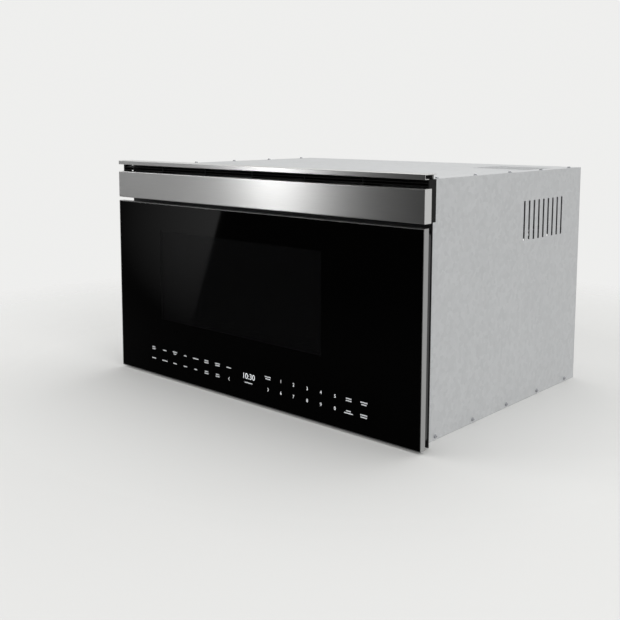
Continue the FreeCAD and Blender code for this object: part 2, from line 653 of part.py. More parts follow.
# ---------------------------------------------------------------- header: strip, slot and band
def header_strip():
    """Thin strip along the top: a folded sheet whose top leaf runs back to the front plate."""
    front = (-HALF_FRONT, HALF_FRONT)
    top = block(front, (FACE_Y, PLATE_Y), (STRIP_TOP - SHEET, STRIP_TOP))
    nose = block(front, (FACE_Y, FACE_Y + SHEET), (STRIP_BOTTOM, STRIP_TOP))
    lower = block(front, (FACE_Y, FACE_Y + STRIP_RETURN), (STRIP_BOTTOM, STRIP_BOTTOM + SHEET))
    tail = block((-HALF_FLANGE, HALF_FLANGE), (PLATE_Y - SHEET, PLATE_Y), (STRIP_BOTTOM + SHEET, STRIP_TOP))
    return rounded(fused([top, nose, lower, tail]), STRIP_EDGE, X_AXIS, lambda p: p.y < FACE_Y + SHEET / 2)


def header_band():
    """Wide stainless band: a shallow pan with folded edges, open to the back."""
    back_y = FACE_Y + BAND_RETURN
    outer = block((-HALF_FRONT, HALF_FRONT), (FACE_Y, back_y), (BAND_BOTTOM, BAND_TOP))
    outer = rounded(outer, BAND_EDGE, X_AXIS, lambda p: p.y < FACE_Y + SHEET / 2)
    hollow = block((SHEET - HALF_FRONT, HALF_FRONT - SHEET), (FACE_Y + SHEET, back_y + CUT),
                   (BAND_BOTTOM + SHEET, BAND_TOP - SHEET))
    return outer.cut(hollow)


def header_housing():
    """Moulded carrier behind the band: a floor and ribs that hold the slot's louvre blades."""
    half = HALF_FRONT - SHEET
    low, high = BAND_BOTTOM + SHEET, STRIP_BOTTOM
    behind_band = FACE_Y + BAND_RETURN + CLEAR
    blade_y = FACE_Y + LOUVRE_SETBACK
    shapes = [block((-half, half), (FACE_Y + SHEET, PLATE_Y), (low, low + RIB))]
    rib = prism_x([(behind_band, low), (PLATE_Y, low), (PLATE_Y, high), (blade_y, high), (blade_y, BAND_TOP),
                   (behind_band, BAND_TOP)], (-half, RIB - half))
    shapes += row(rib, HEADER_RIBS, X_AXIS * (2 * half - RIB) / (HEADER_RIBS - 1))
    for i in range(LOUVRES):
        middle = BAND_TOP + SLOT_HEIGHT * (i + 1) / (LOUVRES + 1)
        low_z = middle - (LOUVRE_THICK + LOUVRE_RISE) / 2
        shapes.append(prism_x([(blade_y, low_z), (blade_y + LOUVRE_DEPTH, low_z + LOUVRE_RISE),
                               (blade_y + LOUVRE_DEPTH, low_z + LOUVRE_RISE + LOUVRE_THICK),
                               (blade_y, low_z + LOUVRE_THICK)], (-half, half)))
    return fused(shapes)


# ---------------------------------------------------------------- cavity and microwave feed
def feed_aperture():
    """Slot through the dome and the waveguide's floor, round the stirrer's shaft."""
    return block(around(TUB_CENTRE_X, FEED_WIDTH), around(STIRRER_Y, FEED_LENGTH), around(DOME_TOP, 4 * SHEET))


def cavity_shell():
    """Fixed cavity round the tub: welded sheet with a front lip, a dome for the stirrer and outlet slots."""
    inside = cavity_tunnel(0, (INSIDE_Y - CUT, CAVITY_REAR_Y))
    outside = cavity_tunnel(SHEET, (INSIDE_Y, CAVITY_REAR_Y + SHEET))
    lip = cavity_tunnel(CAVITY_LIP, (INSIDE_Y, INSIDE_Y + SHEET))
    dome_x, dome_y = around(TUB_CENTRE_X, DOME_SIZE), around(STIRRER_Y, DOME_SIZE)
    dome = block(dome_x, dome_y, (CAVITY_TOP, DOME_TOP))
    dome_inside = block(grown(dome_x, -SHEET), grown(dome_y, -SHEET), (CAVITY_TOP - CUT, DOME_TOP - SHEET))
    shell = without(fused([outside, lip, dome]), [inside, dome_inside])
    outlet_y = INSIDE_Y + OUTLET_SETBACK
    outlet = block((TUB_CENTRE_X - OUTLET_SPAN / 2, TUB_CENTRE_X - OUTLET_SPAN / 2 + OUTLET_WIDTH),
                   (outlet_y, outlet_y + OUTLET_LENGTH), grown((CAVITY_TOP, DOME_BOTTOM), CUT))
    lamp_hole = block(grown((CAVITY_RIGHT_X - SHEET, CAVITY_RIGHT_X), CUT), around(LAMP_Y, LAMP_OPENING),
                      around(LAMP_Z, LAMP_OPENING))
    return without(shell, [feed_aperture(), lamp_hole] + row(outlet, OUTLETS, X_AXIS * OUTLET_PITCH))


def stirrer_cover():
    """Thin cover over the stirrer's mouth, on the cavity's ceiling."""
    size = DOME_SIZE + 2 * COVER_LAP
    plate = block(around(TUB_CENTRE_X, size), around(STIRRER_Y, size), (CAVITY_TOP - SHEET, CAVITY_TOP))
    return bevelled(plate, COVER_LAP, Z_AXIS)


def waveguide():
    """Rectangular duct from the magnetron to the stirrer, resting on the cavity's dome."""
    x, y = (TUB_CENTRE_X - GUIDE_OVERHANG, GUIDE_RIGHT_X), around(STIRRER_Y, GUIDE_WIDTH)
    outer = block(x, y, (DOME_TOP, GUIDE_TOP))
    inner = block(grown(x, -SHEET), grown(y, -SHEET), (DOME_TOP + SHEET, GUIDE_TOP - SHEET))
    hole_size = 2 * (STIRRER_SHAFT_RADIUS + STIRRER_HOLE_CLEAR)
    shaft_hole = block(around(TUB_CENTRE_X, hole_size), around(STIRRER_Y, hole_size),
                       grown((GUIDE_TOP - SHEET, GUIDE_TOP), CUT))
    antenna_hole = rod(ANTENNA_RADIUS + ANTENNA_CLEAR, SHEET + 2 * CUT,
                       Vec(MAGNETRON_X, STIRRER_Y, DOME_TOP - CUT), Z_AXIS)
    return without(outer, [inner, feed_aperture(), shaft_hole, antenna_hole])


def stirrer_motor():
    """Flat synchronous motor on the waveguide, with two ears and a bore for the stirrer's shaft."""
    centre = Vec(TUB_CENTRE_X, STIRRER_Y, GUIDE_TOP)
    can = rod(STIRRER_MOTOR_RADIUS, STIRRER_MOTOR_HEIGHT - SHEET, centre + Z_AXIS * SHEET, Z_AXIS)
    ears = block(around(TUB_CENTRE_X, 2 * (STIRRER_MOTOR_RADIUS + STIRRER_MOTOR_EAR)),
                 around(STIRRER_Y, STIRRER_MOTOR_EAR), (GUIDE_TOP, GUIDE_TOP + SHEET))
    bore = rod(STIRRER_SHAFT_RADIUS + BUSH_PLAY, STIRRER_MOTOR_HEIGHT - STIRRER_MOTOR_CAP, centre, Z_AXIS)
    return without(fused([can, ears]), [bore])


def stirrer_blade():
    """Stirrer: bent blades on a hub, with the shaft that runs up through the waveguide to its motor."""
    axis_point = Vec(TUB_CENTRE_X, STIRRER_Y, STIRRER_LOW)
    hub_height = STIRRER_HUB / 4
    hub = block(around(TUB_CENTRE_X, STIRRER_HUB), around(STIRRER_Y, STIRRER_HUB),
                (STIRRER_LOW, STIRRER_LOW + hub_height))
    shaft_top = GUIDE_TOP + STIRRER_MOTOR_HEIGHT - STIRRER_MOTOR_CAP - SHEET
    shapes = [hub, rod(STIRRER_SHAFT_RADIUS, shaft_top - STIRRER_LOW, axis_point, Z_AXIS)]
    z = around(STIRRER_LOW + hub_height / 2, SHEET)
    bend_x = TUB_CENTRE_X + STIRRER_RADIUS - STIRRER_WING
    flat = block((TUB_CENTRE_X + STIRRER_HUB / 4, bend_x), around(STIRRER_Y, STIRRER_BLADE_WIDTH), z)
    wing = block((bend_x, bend_x + STIRRER_WING), around(STIRRER_Y, STIRRER_BLADE_WIDTH), z)
    blade = flat.fuse(wing.rotated(Vec(bend_x, STIRRER_Y, z[0]), Y_AXIS, -STIRRER_WING_ANGLE))
    for i in range(STIRRER_BLADES):
        shapes.append(blade.rotated(axis_point, Z_AXIS, 360.0 / STIRRER_BLADES * i))
    return fused(shapes)


def magnetron_body():
    """Magnetron's steel yoke, open at front and back, and the filter box under it with its plug."""
    x, y = around(MAGNETRON_X, MAGNETRON_WIDTH), around(STIRRER_Y, MAGNETRON_DEPTH)
    z = (MAGNETRON_BOTTOM, DOME_TOP)
    hollow = block(grown(x, -MAGNETRON_SHEET), grown(y, CUT), grown(z, -MAGNETRON_SHEET))
    neck_hole = rod(ANTENNA_RADIUS, MAGNETRON_SHEET + 2 * CUT,
                    Vec(MAGNETRON_X, STIRRER_Y, DOME_TOP - MAGNETRON_SHEET - CUT), Z_AXIS)
    filter_y = around(STIRRER_Y, FILTER_DEPTH)
    filter_box = block(x, filter_y, (MAGNETRON_BOTTOM - FILTER_HEIGHT, MAGNETRON_BOTTOM))
    plug = block(around(MAGNETRON_X, PLUG_SIZE), (filter_y[0] - PLUG_DEPTH, filter_y[0]),
                 around(MAGNETRON_BOTTOM - FILTER_HEIGHT / 2, PLUG_SIZE))
    return fused([without(block(x, y, z), [hollow, neck_hole]), filter_box, plug])


def magnetron_fins():
    """Anode block with its cooling fins between the yoke's plates, and the antenna up in the waveguide."""
    low, high = MAGNETRON_BOTTOM + MAGNETRON_SHEET, DOME_TOP - MAGNETRON_SHEET
    pitch = (high - low) / MAGNETRON_FINS
    fin = block(around(MAGNETRON_X, MAGNETRON_WIDTH - 2 * MAGNETRON_SHEET),
                around(STIRRER_Y, MAGNETRON_DEPTH - 2 * FIN_SETBACK), around(low + pitch / 2, FIN_SHEET))
    anode = block(around(MAGNETRON_X, ANODE_SIZE), around(STIRRER_Y, ANODE_SIZE), (low, high))
    antenna = rod(ANTENNA_RADIUS, MAGNETRON_SHEET + ANTENNA_HEIGHT, Vec(MAGNETRON_X, STIRRER_Y, high), Z_AXIS)
    return fused([anode, antenna] + row(fin, MAGNETRON_FINS, Z_AXIS * pitch))


# ---------------------------------------------------------------- electrics
def transformer_core():
    """Laminated core with two windows, on folded feet that stand on the base."""
    x, y = around(TRANSFORMER_X, CORE_WIDTH), around(TRANSFORMER_Y, CORE_DEPTH)
    window = block((x[0] + CORE_LEG, x[0] + CORE_LEG + CORE_WINDOW), grown(y, CUT),
                   (CORE_LOW + CORE_LEG, CORE_LOW + CORE_HEIGHT - CORE_LEG))
    feet = block(grown(x, CORE_FOOT), grown(y, -CORE_FOOT_INSET), (SHEET, CORE_LOW))
    core = fused([block(x, y, (CORE_LOW, CORE_LOW + CORE_HEIGHT)), feet])
    return without(core, [window, mirrored_about(window, TRANSFORMER_X)])


def transformer_coils():
    """Primary and secondary windings, one above the other round the core's middle leg."""
    low = CORE_LOW + CORE_LEG + CLEAR
    height = (CORE_HEIGHT - 2 * CORE_LEG - 2 * CLEAR - COIL_GAP) / 2
    coils = []
    for z0 in (low, low + height + COIL_GAP):
        outer = block(around(TRANSFORMER_X, 2 * (CORE_LEG + CORE_WINDOW - CLEAR)),
                      around(TRANSFORMER_Y, CORE_DEPTH + 2 * COIL_PROUD), (z0, z0 + height))
        leg = block(around(TRANSFORMER_X, 2 * CORE_LEG), around(TRANSFORMER_Y, CORE_DEPTH),
                    grown((z0, z0 + height), CUT))
        coils.append(bevelled(outer, COIL_CORNER, Z_AXIS).cut(leg))
    return Part.makeCompound(coils)


def hv_capacitor():
    """Oval capacitor can lying on the base, with its two terminals."""
    y = (CAPACITOR_Y, CAPACITOR_Y + CAPACITOR_LENGTH)
    can = block(around(TRANSFORMER_X, CAPACITOR_WIDTH), y, (SHEET, SHEET + CAPACITOR_HEIGHT))
    tab = block(around(TRANSFORMER_X - TERMINAL_PITCH / 2, TERMINAL_WIDTH), (y[0] - TERMINAL_LENGTH, y[0]),
                around(SHEET + CAPACITOR_HEIGHT / 2, TERMINAL_SHEET))
    return fused([rounded(can, CAPACITOR_ROUND, Y_AXIS)] + row(tab, 2, X_AXIS * TERMINAL_PITCH))


def noise_filter():
    """Mains filter: a board on a folded carrier, with its choke, capacitor and fuse."""
    right = CORD_HOLE_X - CORD_BUSH_SIZE / 2 - MAINS_BOARD_TO_CORD
    x, y = (right - MAINS_BOARD_LENGTH, right), (REAR_INSIDE_Y - MAINS_BOARD_GAP - MAINS_BOARD_DEPTH,
                                                 REAR_INSIDE_Y - MAINS_BOARD_GAP)
    board_z = SHEET + MAINS_BOARD_RISE
    top = board_z + BOARD
    choke_x, capacitor_x, fuse_x = [x[0] + MAINS_BOARD_LENGTH * share for share in MAINS_PART_PLACES]
    coil_y, coil_z = around((y[0] + y[1]) / 2, CHOKE_COIL), (top, top + CHOKE_COIL_HEIGHT)
    return fused([
        block(x, y, (board_z, top)),
        block((x[0], x[0] + CARRIER_SHEET), y, (SHEET, board_z)),
        block((x[1] - CARRIER_SHEET, x[1]), y, (SHEET, board_z)),
        block(around(choke_x, CHOKE_COIL), coil_y, coil_z),
        block(around(capacitor_x, MAINS_CAPACITOR), coil_y, coil_z),
        block(around(fuse_x, FUSE_WIDTH), around((y[0] + y[1]) / 2, FUSE_LENGTH), (top, top + FUSE_WIDTH)),
    ])


def power_board():
    """Control board on posts from the left side panel, with relays, a transformer and a plug row."""
    board_x = (BOARD_POST - HALF_INSIDE, BOARD_POST - HALF_INSIDE + BOARD)
    y, z = around(POWER_BOARD_Y, POWER_BOARD_LENGTH), around(POWER_BOARD_Z, POWER_BOARD_HEIGHT)
    front = board_x[1]
    shapes = [block(board_x, y, z)]
    for post_y in grown(y, -BOARD_POST_INSET):
        for post_z in grown(z, -BOARD_POST_INSET):
            shapes.append(block((-HALF_INSIDE, board_x[0]), around(post_y, BOARD_POST_SIZE),
                                around(post_z, BOARD_POST_SIZE)))
    near, far = grown(y, -BOARD_MARGIN)
    low, high = grown(z, -BOARD_MARGIN)
    relay = block((front, front + RELAY_DEPTH), (near, near + RELAY_LENGTH), (high - RELAY_HEIGHT, high))
    shapes += row(relay, RELAYS, Y_AXIS * RELAY_PITCH)
    shapes.append(block((front, front + BOARD_TRANSFORMER_DEPTH), (near, near + BOARD_TRANSFORMER),
                        (low, low + BOARD_TRANSFORMER)))
    shapes.append(rod(BOARD_CAPACITOR, BOARD_CAPACITOR_LENGTH,
                      Vec(front, POWER_BOARD_Y, low + BOARD_TRANSFORMER / 2), X_AXIS))
    shapes.append(block((front, front + BOARD_PLUG_DEPTH), (far - BOARD_PLUG, far), (low, low + BOARD_PLUG / 3)))
    return fused(shapes)


def oven_lamp():
    """Lamp holder on the cavity's right wall, with the bulb at its mouth."""
    back = CAVITY_RIGHT_X + LAMP_CASE_DEPTH - LAMP_BACK
    case = block((CAVITY_RIGHT_X, CAVITY_RIGHT_X + LAMP_CASE_DEPTH), around(LAMP_Y, LAMP_CASE),
                 around(LAMP_Z, LAMP_CASE))
    well = block((CAVITY_RIGHT_X - CUT, back), around(LAMP_Y, LAMP_OPENING), around(LAMP_Z, LAMP_OPENING))
    bulb_x = CAVITY_RIGHT_X + LAMP_BULB_SETBACK
    bulb = rod(LAMP_BULB, back - bulb_x, Vec(bulb_x, LAMP_Y, LAMP_Z), X_AXIS)
    return Part.makeCompound([case.cut(well), bulb])


def fan_point(y):
    return Vec(FAN_X, y, FAN_Z)


def fan_shroud():
    """Square fan housing on the back panel: a round bore, and two struts across its front for the motor."""
    frame = block(around(FAN_X, FAN_FRAME), (FAN_FRONT_Y, REAR_INSIDE_Y), around(FAN_Z, FAN_FRAME))
    bore = rod(FAN_BORE_RADIUS, FAN_DEPTH + 2 * CUT, fan_point(FAN_FRONT_Y - CUT), Y_AXIS)
    strut = block(around(FAN_X, 2 * FAN_BORE_RADIUS), (FAN_FRONT_Y, FAN_FRONT_Y + FAN_STRUT_DEPTH),
                  around(FAN_Z - FAN_MOTOR_SIZE / 3, FAN_STRUT))
    struts = row(strut, 2, Z_AXIS * FAN_MOTOR_SIZE * 2 / 3)
    return fused([bevelled(frame, FAN_FRAME_CORNER, Y_AXIS).cut(bore)] + struts)


def fan_motor():
    """Shaded-pole motor: a square core with its coil on one side, and a bearing cap with a bore."""
    y = (FAN_FRONT_Y - FAN_MOTOR_LENGTH, FAN_FRONT_Y)
    core = block(around(FAN_X, FAN_MOTOR_SIZE), y, around(FAN_Z, FAN_MOTOR_SIZE))
    core_left = FAN_X - FAN_MOTOR_SIZE / 2
    coil = block((core_left - FAN_COIL_PROUD, core_left), grown(y, -FAN_NOSE),
                 around(FAN_Z, FAN_MOTOR_SIZE - FAN_COIL_PROUD))
    third = around(FAN_X, FAN_MOTOR_SIZE / 3)
    cap = block(third, (y[0] - FAN_CAP, y[0]), around(FAN_Z, FAN_MOTOR_SIZE - FAN_CAP))
    nose = block(third, (y[1], y[1] + FAN_NOSE), around(FAN_Z, FAN_MOTOR_SIZE / 3))
    bore = rod(FAN_SHAFT_RADIUS + BUSH_PLAY, FAN_MOTOR_LENGTH + FAN_NOSE + CUT, fan_point(y[0]), Y_AXIS)
    return fused([core, coil, cap, nose]).cut(bore)


def fan_wheel():
    """Axial wheel: hub, shaft and pitched blades that widen to the tip."""
    y = (FAN_FRONT_Y + FAN_WHEEL_FRONT_GAP, REAR_INSIDE_Y - FAN_WHEEL_REAR_GAP)
    middle = (y[0] + y[1]) / 2
    tip = FAN_BORE_RADIUS - FAN_TIP_GAP
    chord, root = FAN_BLADE_CHORD / 2, FAN_BLADE_ROOT / 2
    top_half = chord - FAN_BLADE_SHOULDER
    high = math.sqrt(tip ** 2 - top_half ** 2)
    low = FAN_HUB_RADIUS - FAN_BLADE_SHOULDER
    planform = [Vec(-root, 0, low), Vec(root, 0, low), Vec(chord, 0, high - FAN_BLADE_SHOULDER),
                Vec(top_half, 0, high), Vec(-top_half, 0, high), Vec(-chord, 0, high - FAN_BLADE_SHOULDER)]
    blade = prism(planform, fan_point(middle - FAN_BLADE / 2), Y_AXIS * FAN_BLADE)
    blade = blade.rotated(fan_point(middle), Z_AXIS, FAN_PITCH)
    blades = [blade.rotated(fan_point(0), Y_AXIS, 360.0 / FAN_BLADES * i) for i in range(FAN_BLADES)]
    hub = rod(FAN_HUB_RADIUS, y[1] - y[0], fan_point(y[0]), Y_AXIS)
    shaft_y = FAN_FRONT_Y - FAN_MOTOR_LENGTH + SHEET
    return fused([hub, rod(FAN_SHAFT_RADIUS, y[0] - shaft_y, fan_point(shaft_y), Y_AXIS)] + blades)


# ---------------------------------------------------------------- interlocks
def switch_tongue(x):
    """Tongue on the drawer front that presses an interlock lever as the drawer closes."""
    side, tip = TONGUE_THICK / 2, TONGUE_TIP / 2
    outline = [(x - side, FRONT_BACK_Y), (x + side, FRONT_BACK_Y), (x + side, TONGUE_END_Y - TONGUE_NOSE),
               (x + tip, TONGUE_END_Y), (x - tip, TONGUE_END_Y), (x - side, TONGUE_END_Y - TONGUE_NOSE)]
    foot_z = TONGUE_Z - TONGUE_HEIGHT / 2
    blade = prism([Vec(px, py, 0) for px, py in outline], Z_AXIS * foot_z, Z_AXIS * TONGUE_HEIGHT)
    foot = block(around(x, TONGUE_FOOT), (FRONT_BACK_Y, FRONT_BACK_Y + TONGUE_FOOT_SHEET),
                 around(TONGUE_Z, TONGUE_HEIGHT))
    return fused([blade, foot])


def interlock_lever(x):
    """Spring lever of an interlock switch, with the eye that turns on its pin."""
    pivot_x = x - LEVER_PIVOT_OFFSET
    z = around(TONGUE_Z, LEVER_HEIGHT)
    eye = block(around(pivot_x, LEVER_EYE), (LEVER_Y, LEVER_Y + LEVER_EYE), z)
    strip = block((pivot_x, pivot_x + LEVER_LENGTH), (LEVER_Y, LEVER_Y + LEVER_THICK), z)
    hole = rod(LEVER_PIN_RADIUS + BUSH_PLAY, LEVER_HEIGHT, Vec(pivot_x, LEVER_PIN_Y, z[0]), Z_AXIS)
    return fused([eye, strip]).cut(hole)


def interlock_switch(x):
    """A switch behind a lever, with its plunger and the ears and pin that the lever turns on."""
    pivot_x = x - LEVER_PIVOT_OFFSET
    body_x = pivot_x + SWITCH_INSET
    plunger_x = pivot_x + PLUNGER_INSET
    z = around(TONGUE_Z, SWITCH_HEIGHT)
    body = block((body_x, body_x + SWITCH_WIDTH), (SWITCH_Y, SWITCH_Y + SWITCH_DEPTH), z)
    plunger = block((plunger_x, plunger_x + PLUNGER), (LEVER_Y + LEVER_THICK + CLEAR, SWITCH_Y),
                    around(TONGUE_Z, PLUNGER))
    ear = block((pivot_x - LEVER_EYE / 2, body_x + SWITCH_EAR), (LEVER_Y, SWITCH_Y + SWITCH_EAR_LAP),
                (z[0], z[0] + SWITCH_EAR))
    pin = rod(LEVER_PIN_RADIUS, SWITCH_HEIGHT, Vec(pivot_x, LEVER_PIN_Y, z[0]), Z_AXIS)
    return fused([body, plunger, pin] + row(ear, 2, Z_AXIS * (SWITCH_HEIGHT - SWITCH_EAR)))


def interlock_bracket(x):
    """Folded bracket that holds a switch off the back of the front plate."""
    left = x - LEVER_PIVOT_OFFSET + SWITCH_INSET
    width = (left, left + SWITCH_WIDTH)
    top = TONGUE_Z - SWITCH_HEIGHT / 2
    shelf = block(width, (INSIDE_Y, SWITCH_Y + SWITCH_DEPTH), (top - SWITCH_BRACKET, top))
    tab = block(width, (INSIDE_Y, INSIDE_Y + SWITCH_BRACKET), (top - SWITCH_BRACKET_TAB, top))
    return fused([shelf, tab])


# ---------------------------------------------------------------- slides
def track_block(track, y, z):
    """A box given by its distances out from the tub's centre line, on the right side."""
    return block((TUB_CENTRE_X + track[0], TUB_CENTRE_X + track[1]), y, z)


def channel(web, flange, half_height, y):
    """C channel of a slide: web and flange are (near, far) distances from the tub's centre line."""
    z = around(SLIDE_CENTRE_Z, 2 * half_height)
    return fused([track_block(web, y, z), track_block(flange, y, (z[1] - SLIDE_SHEET, z[1])),
                  track_block(flange, y, (z[0], z[0] + SLIDE_SHEET))])


def slide_fixed():
    """Outer member of a slide, with lips that keep the balls in."""
    y = (SLIDE_FRONT_Y, SLIDE_REAR_Y)
    member = channel(FIXED_WEB, (SLIDE_NEAR, SLIDE_HALF_TRACK), FIXED_HALF, y)
    lip = (SLIDE_NEAR, SLIDE_NEAR + SLIDE_SHEET)
    inside = around(SLIDE_CENTRE_Z, 2 * (FIXED_HALF - SLIDE_SHEET))
    return fused([member, track_block(lip, y, (inside[1] - SLIDE_LIP, inside[1])),
                  track_block(lip, y, (inside[0], inside[0] + SLIDE_LIP))])


def slide_middle():
    return channel(MIDDLE_WEB, (RACE_NEAR, MIDDLE_WEB[1]), MIDDLE_HALF,
                   (SLIDE_FRONT_Y + SLIDE_STAGGER, SLIDE_REAR_Y - SLIDE_STAGGER))


def slide_inner():
    web = (INNER_WEB_TRACK, INNER_WEB_TRACK + SLIDE_SHEET)
    return channel(web, (INNER_WEB_TRACK, INNER_FLANGE_FAR), INNER_HALF, (SLIDE_FRONT_Y, INNER_REAR_Y))


def ball(centre):
    """A ball with flats: two eight-sided bars that cross, and what they have in common."""
    corners = [math.pi / 8 + i * math.pi / 4 for i in range(8)]
    reach = BALL_RADIUS / math.cos(math.pi / 8)
    bar = prism([Vec(reach * math.cos(a), 0, reach * math.sin(a)) for a in corners],
                Vec(0, -BALL_RADIUS, 0), Y_AXIS * (2 * BALL_RADIUS))
    return bar.common(bar.rotated(Vec(), Z_AXIS, 90)).translated(centre)


def ball_cage(web, race_half):
    """Retainer of one slide: a thin channel whose two leaves carry the balls."""
    y = (CAGE_FRONT_Y, CAGE_FRONT_Y + CAGE_LENGTH)
    ball_x = TUB_CENTRE_X + (RACE_NEAR + web[0]) / 2
    pitch = CAGE_LENGTH / BALLS_PER_ROW
    solids = [track_block(web, y, around(SLIDE_CENTRE_Z, 2 * race_half))]
    for height in around(SLIDE_CENTRE_Z, 2 * race_half):
        solids.append(track_block((RACE_NEAR, web[1]), y, around(height, CAGE_SHEET)))
        solids += row(ball(Vec(ball_x, y[0] + pitch / 2, height)), BALLS_PER_ROW, Y_AXIS * pitch)
    return fused(solids)


def slide_bracket():
    """Folded bracket that stands on the base and holds a slide's fixed member."""
    y = (SLIDE_FRONT_Y, SLIDE_REAR_Y)
    near = SLIDE_HALF_TRACK
    wall = track_block((near, near + SLIDE_BRACKET), y, (SHEET, SLIDE_CENTRE_Z + FIXED_HALF))
    foot = track_block((near, near + SLIDE_FOOT), y, (SHEET, SHEET + SLIDE_BRACKET))
    return fused([wall, foot])


def drawer_arm():
    """Flat bar behind the drawer front, bolted to a slide's inner member, with a folded front tab."""
    bar = track_block((ARM_TRACK, INNER_WEB_TRACK), (FRONT_BACK_Y, INNER_REAR_Y), (ARM_BOTTOM, ARM_TOP))
    tab = track_block((ARM_TRACK - ARM_TAB, INNER_WEB_TRACK), (FRONT_BACK_Y, FRONT_BACK_Y + ARM_SHEET),
                      (RACK_TOP_Z + CUT, ARM_TOP))
    tail = [(INNER_REAR_Y + CUT, ARM_TOP + CUT), (INNER_REAR_Y + CUT, ARM_TOP - ARM_REAR_CUT),
            (INNER_REAR_Y - ARM_REAR_CUT, ARM_TOP + CUT)]
    through = grown((TUB_CENTRE_X + ARM_TRACK, TUB_CENTRE_X + INNER_WEB_TRACK), CUT)
    return fused([bar, tab]).cut(prism_x(tail, through))


# ---------------------------------------------------------------- gears and racks
def involute_point(base_radius, radius, half_base_angle):
    """Polar (radius, angle from the tooth's middle) of an involute flank at a radius."""
    roll = math.sqrt(max(radius ** 2 - base_radius ** 2, 0)) / base_radius
    return radius, half_base_angle - (roll - math.atan(roll))


def gear(module, teeth, centre, width, first_tooth_angle):
    """Spur gear in the Y-Z plane, swept along +X from centre; angles run from +Y towards +Z."""
    pitch_radius = module * teeth / 2
    pressure = math.radians(PRESSURE_ANGLE)
    base_radius = pitch_radius * math.cos(pressure)
    tip_radius = pitch_radius + ADDENDUM * module
    root_radius = pitch_radius - DEDENDUM * module
    half_pitch_angle = (math.pi / 2 - BACKLASH) / teeth
    half_base_angle = half_pitch_angle + math.tan(pressure) - pressure
    flank = [(root_radius, half_base_angle)]
    flank += [involute_point(base_radius, r, half_base_angle) for r in (pitch_radius, tip_radius)]
    points = []
    for i in range(teeth):
        middle = math.radians(first_tooth_angle) + 2 * math.pi * i / teeth
        for r, a in flank:
            points.append(Vec(0, r * math.cos(middle - a), r * math.sin(middle - a)))
        for r, a in reversed(flank):
            points.append(Vec(0, r * math.cos(middle + a), r * math.sin(middle + a)))
    return prism(points, centre, X_AXIS * width)


def hex_bar(x):
    """Six-sided drive end of the cross shaft, as wide over its corners as the shaft is thick."""
    corners = [math.radians(60 * i) for i in range(6)]
    return prism([Vec(0, SHAFT_RADIUS * math.cos(a), SHAFT_RADIUS * math.sin(a)) for a in corners],
                 Vec(x[0], SHAFT_Y, SHAFT_CENTRE_Z), X_AXIS * (x[1] - x[0]))


def drive_pinion():
    """Pinion on the shaft's six-sided end, under a rack, with a tooth pointing straight up."""
    x = (TUB_CENTRE_X + RACK_TRACK + CLEAR, TUB_CENTRE_X + ARM_TRACK - CLEAR)
    pinion = gear(RACK_MODULE, PINION_TEETH, Vec(x[0], SHAFT_Y, SHAFT_CENTRE_Z), x[1] - x[0], 90.0)
    return pinion.cut(hex_bar(grown(x, CUT)))


def cross_shaft():
    """Round shaft across the oven, with six-sided ends outside its bushes."""
    round_end = BEARING_TRACK + BUSH_LENGTH / 2 + CLEAR
    middle = rod(SHAFT_RADIUS, 2 * round_end, Vec(TUB_CENTRE_X - round_end, SHAFT_Y, SHAFT_CENTRE_Z), X_AXIS)
    drive_end = hex_bar((TUB_CENTRE_X + round_end, TUB_CENTRE_X + ARM_TRACK - CLEAR))
    return fused([middle, drive_end, mirrored_about(drive_end, TUB_CENTRE_X)])


def shaft_gear():
    start = Vec(GEAR_X, SHAFT_Y, SHAFT_CENTRE_Z)
    wheel = gear(GEAR_MODULE, SHAFT_GEAR_TEETH, start, GEAR_WIDTH, 0.0)
    return wheel.cut(rod(SHAFT_RADIUS, GEAR_WIDTH + 2 * CUT, start - X_AXIS * CUT, X_AXIS))


def motor_pinion():
    """Pinion on the gear motor's shaft, a gap facing the shaft gear's tooth."""
    start = Vec(GEAR_X - PINION_OVERLAP, MOTOR_Y, SHAFT_CENTRE_Z)
    first_tooth = 180.0 + 180.0 / MOTOR_PINION_TEETH
    pinion = gear(GEAR_MODULE, MOTOR_PINION_TEETH, start, GEAR_WIDTH + 2 * PINION_OVERLAP, first_tooth)
    shaft_x = GEARBOX_FACE_X - GEARBOX_BORE_DEPTH / 2
    shaft = rod(MOTOR_SHAFT_RADIUS, start.x - shaft_x, Vec(shaft_x, MOTOR_Y, SHAFT_CENTRE_Z), X_AXIS)
    return fused([pinion, shaft])


def rack():
    """Toothed bar on the arm's inboard face: teeth down, a gap straight above the closed pinion."""
    tip_z = RACK_PITCH_Z - ADDENDUM * RACK_MODULE
    slope = math.tan(math.radians(PRESSURE_ANGLE))
    half_pitch = RACK_PITCH / 4 - BACKLASH * RACK_MODULE / 2
    half_tip = half_pitch - (RACK_PITCH_Z - tip_z) * slope
    half_root = half_pitch + (RACK_ROOT_Z - RACK_PITCH_Z) * slope
    front_y = FRONT_BACK_Y + ARM_SHEET
    last = math.floor((RACK_REAR_Y - half_root - SHAFT_Y) / RACK_PITCH - 0.5)
    outline = [(front_y, RACK_TOP_Z), (front_y, RACK_ROOT_Z)]
    for i in range(RACK_FIRST_TOOTH, last + 1):
        y = SHAFT_Y + (i + 0.5) * RACK_PITCH
        outline += [(y - half_root, RACK_ROOT_Z), (y - half_tip, tip_z), (y + half_tip, tip_z),
                    (y + half_root, RACK_ROOT_Z)]
    outline += [(RACK_REAR_Y, RACK_ROOT_Z), (RACK_REAR_Y, RACK_TOP_Z)]
    return prism_x(outline, (TUB_CENTRE_X + RACK_TRACK, TUB_CENTRE_X + ARM_TRACK))


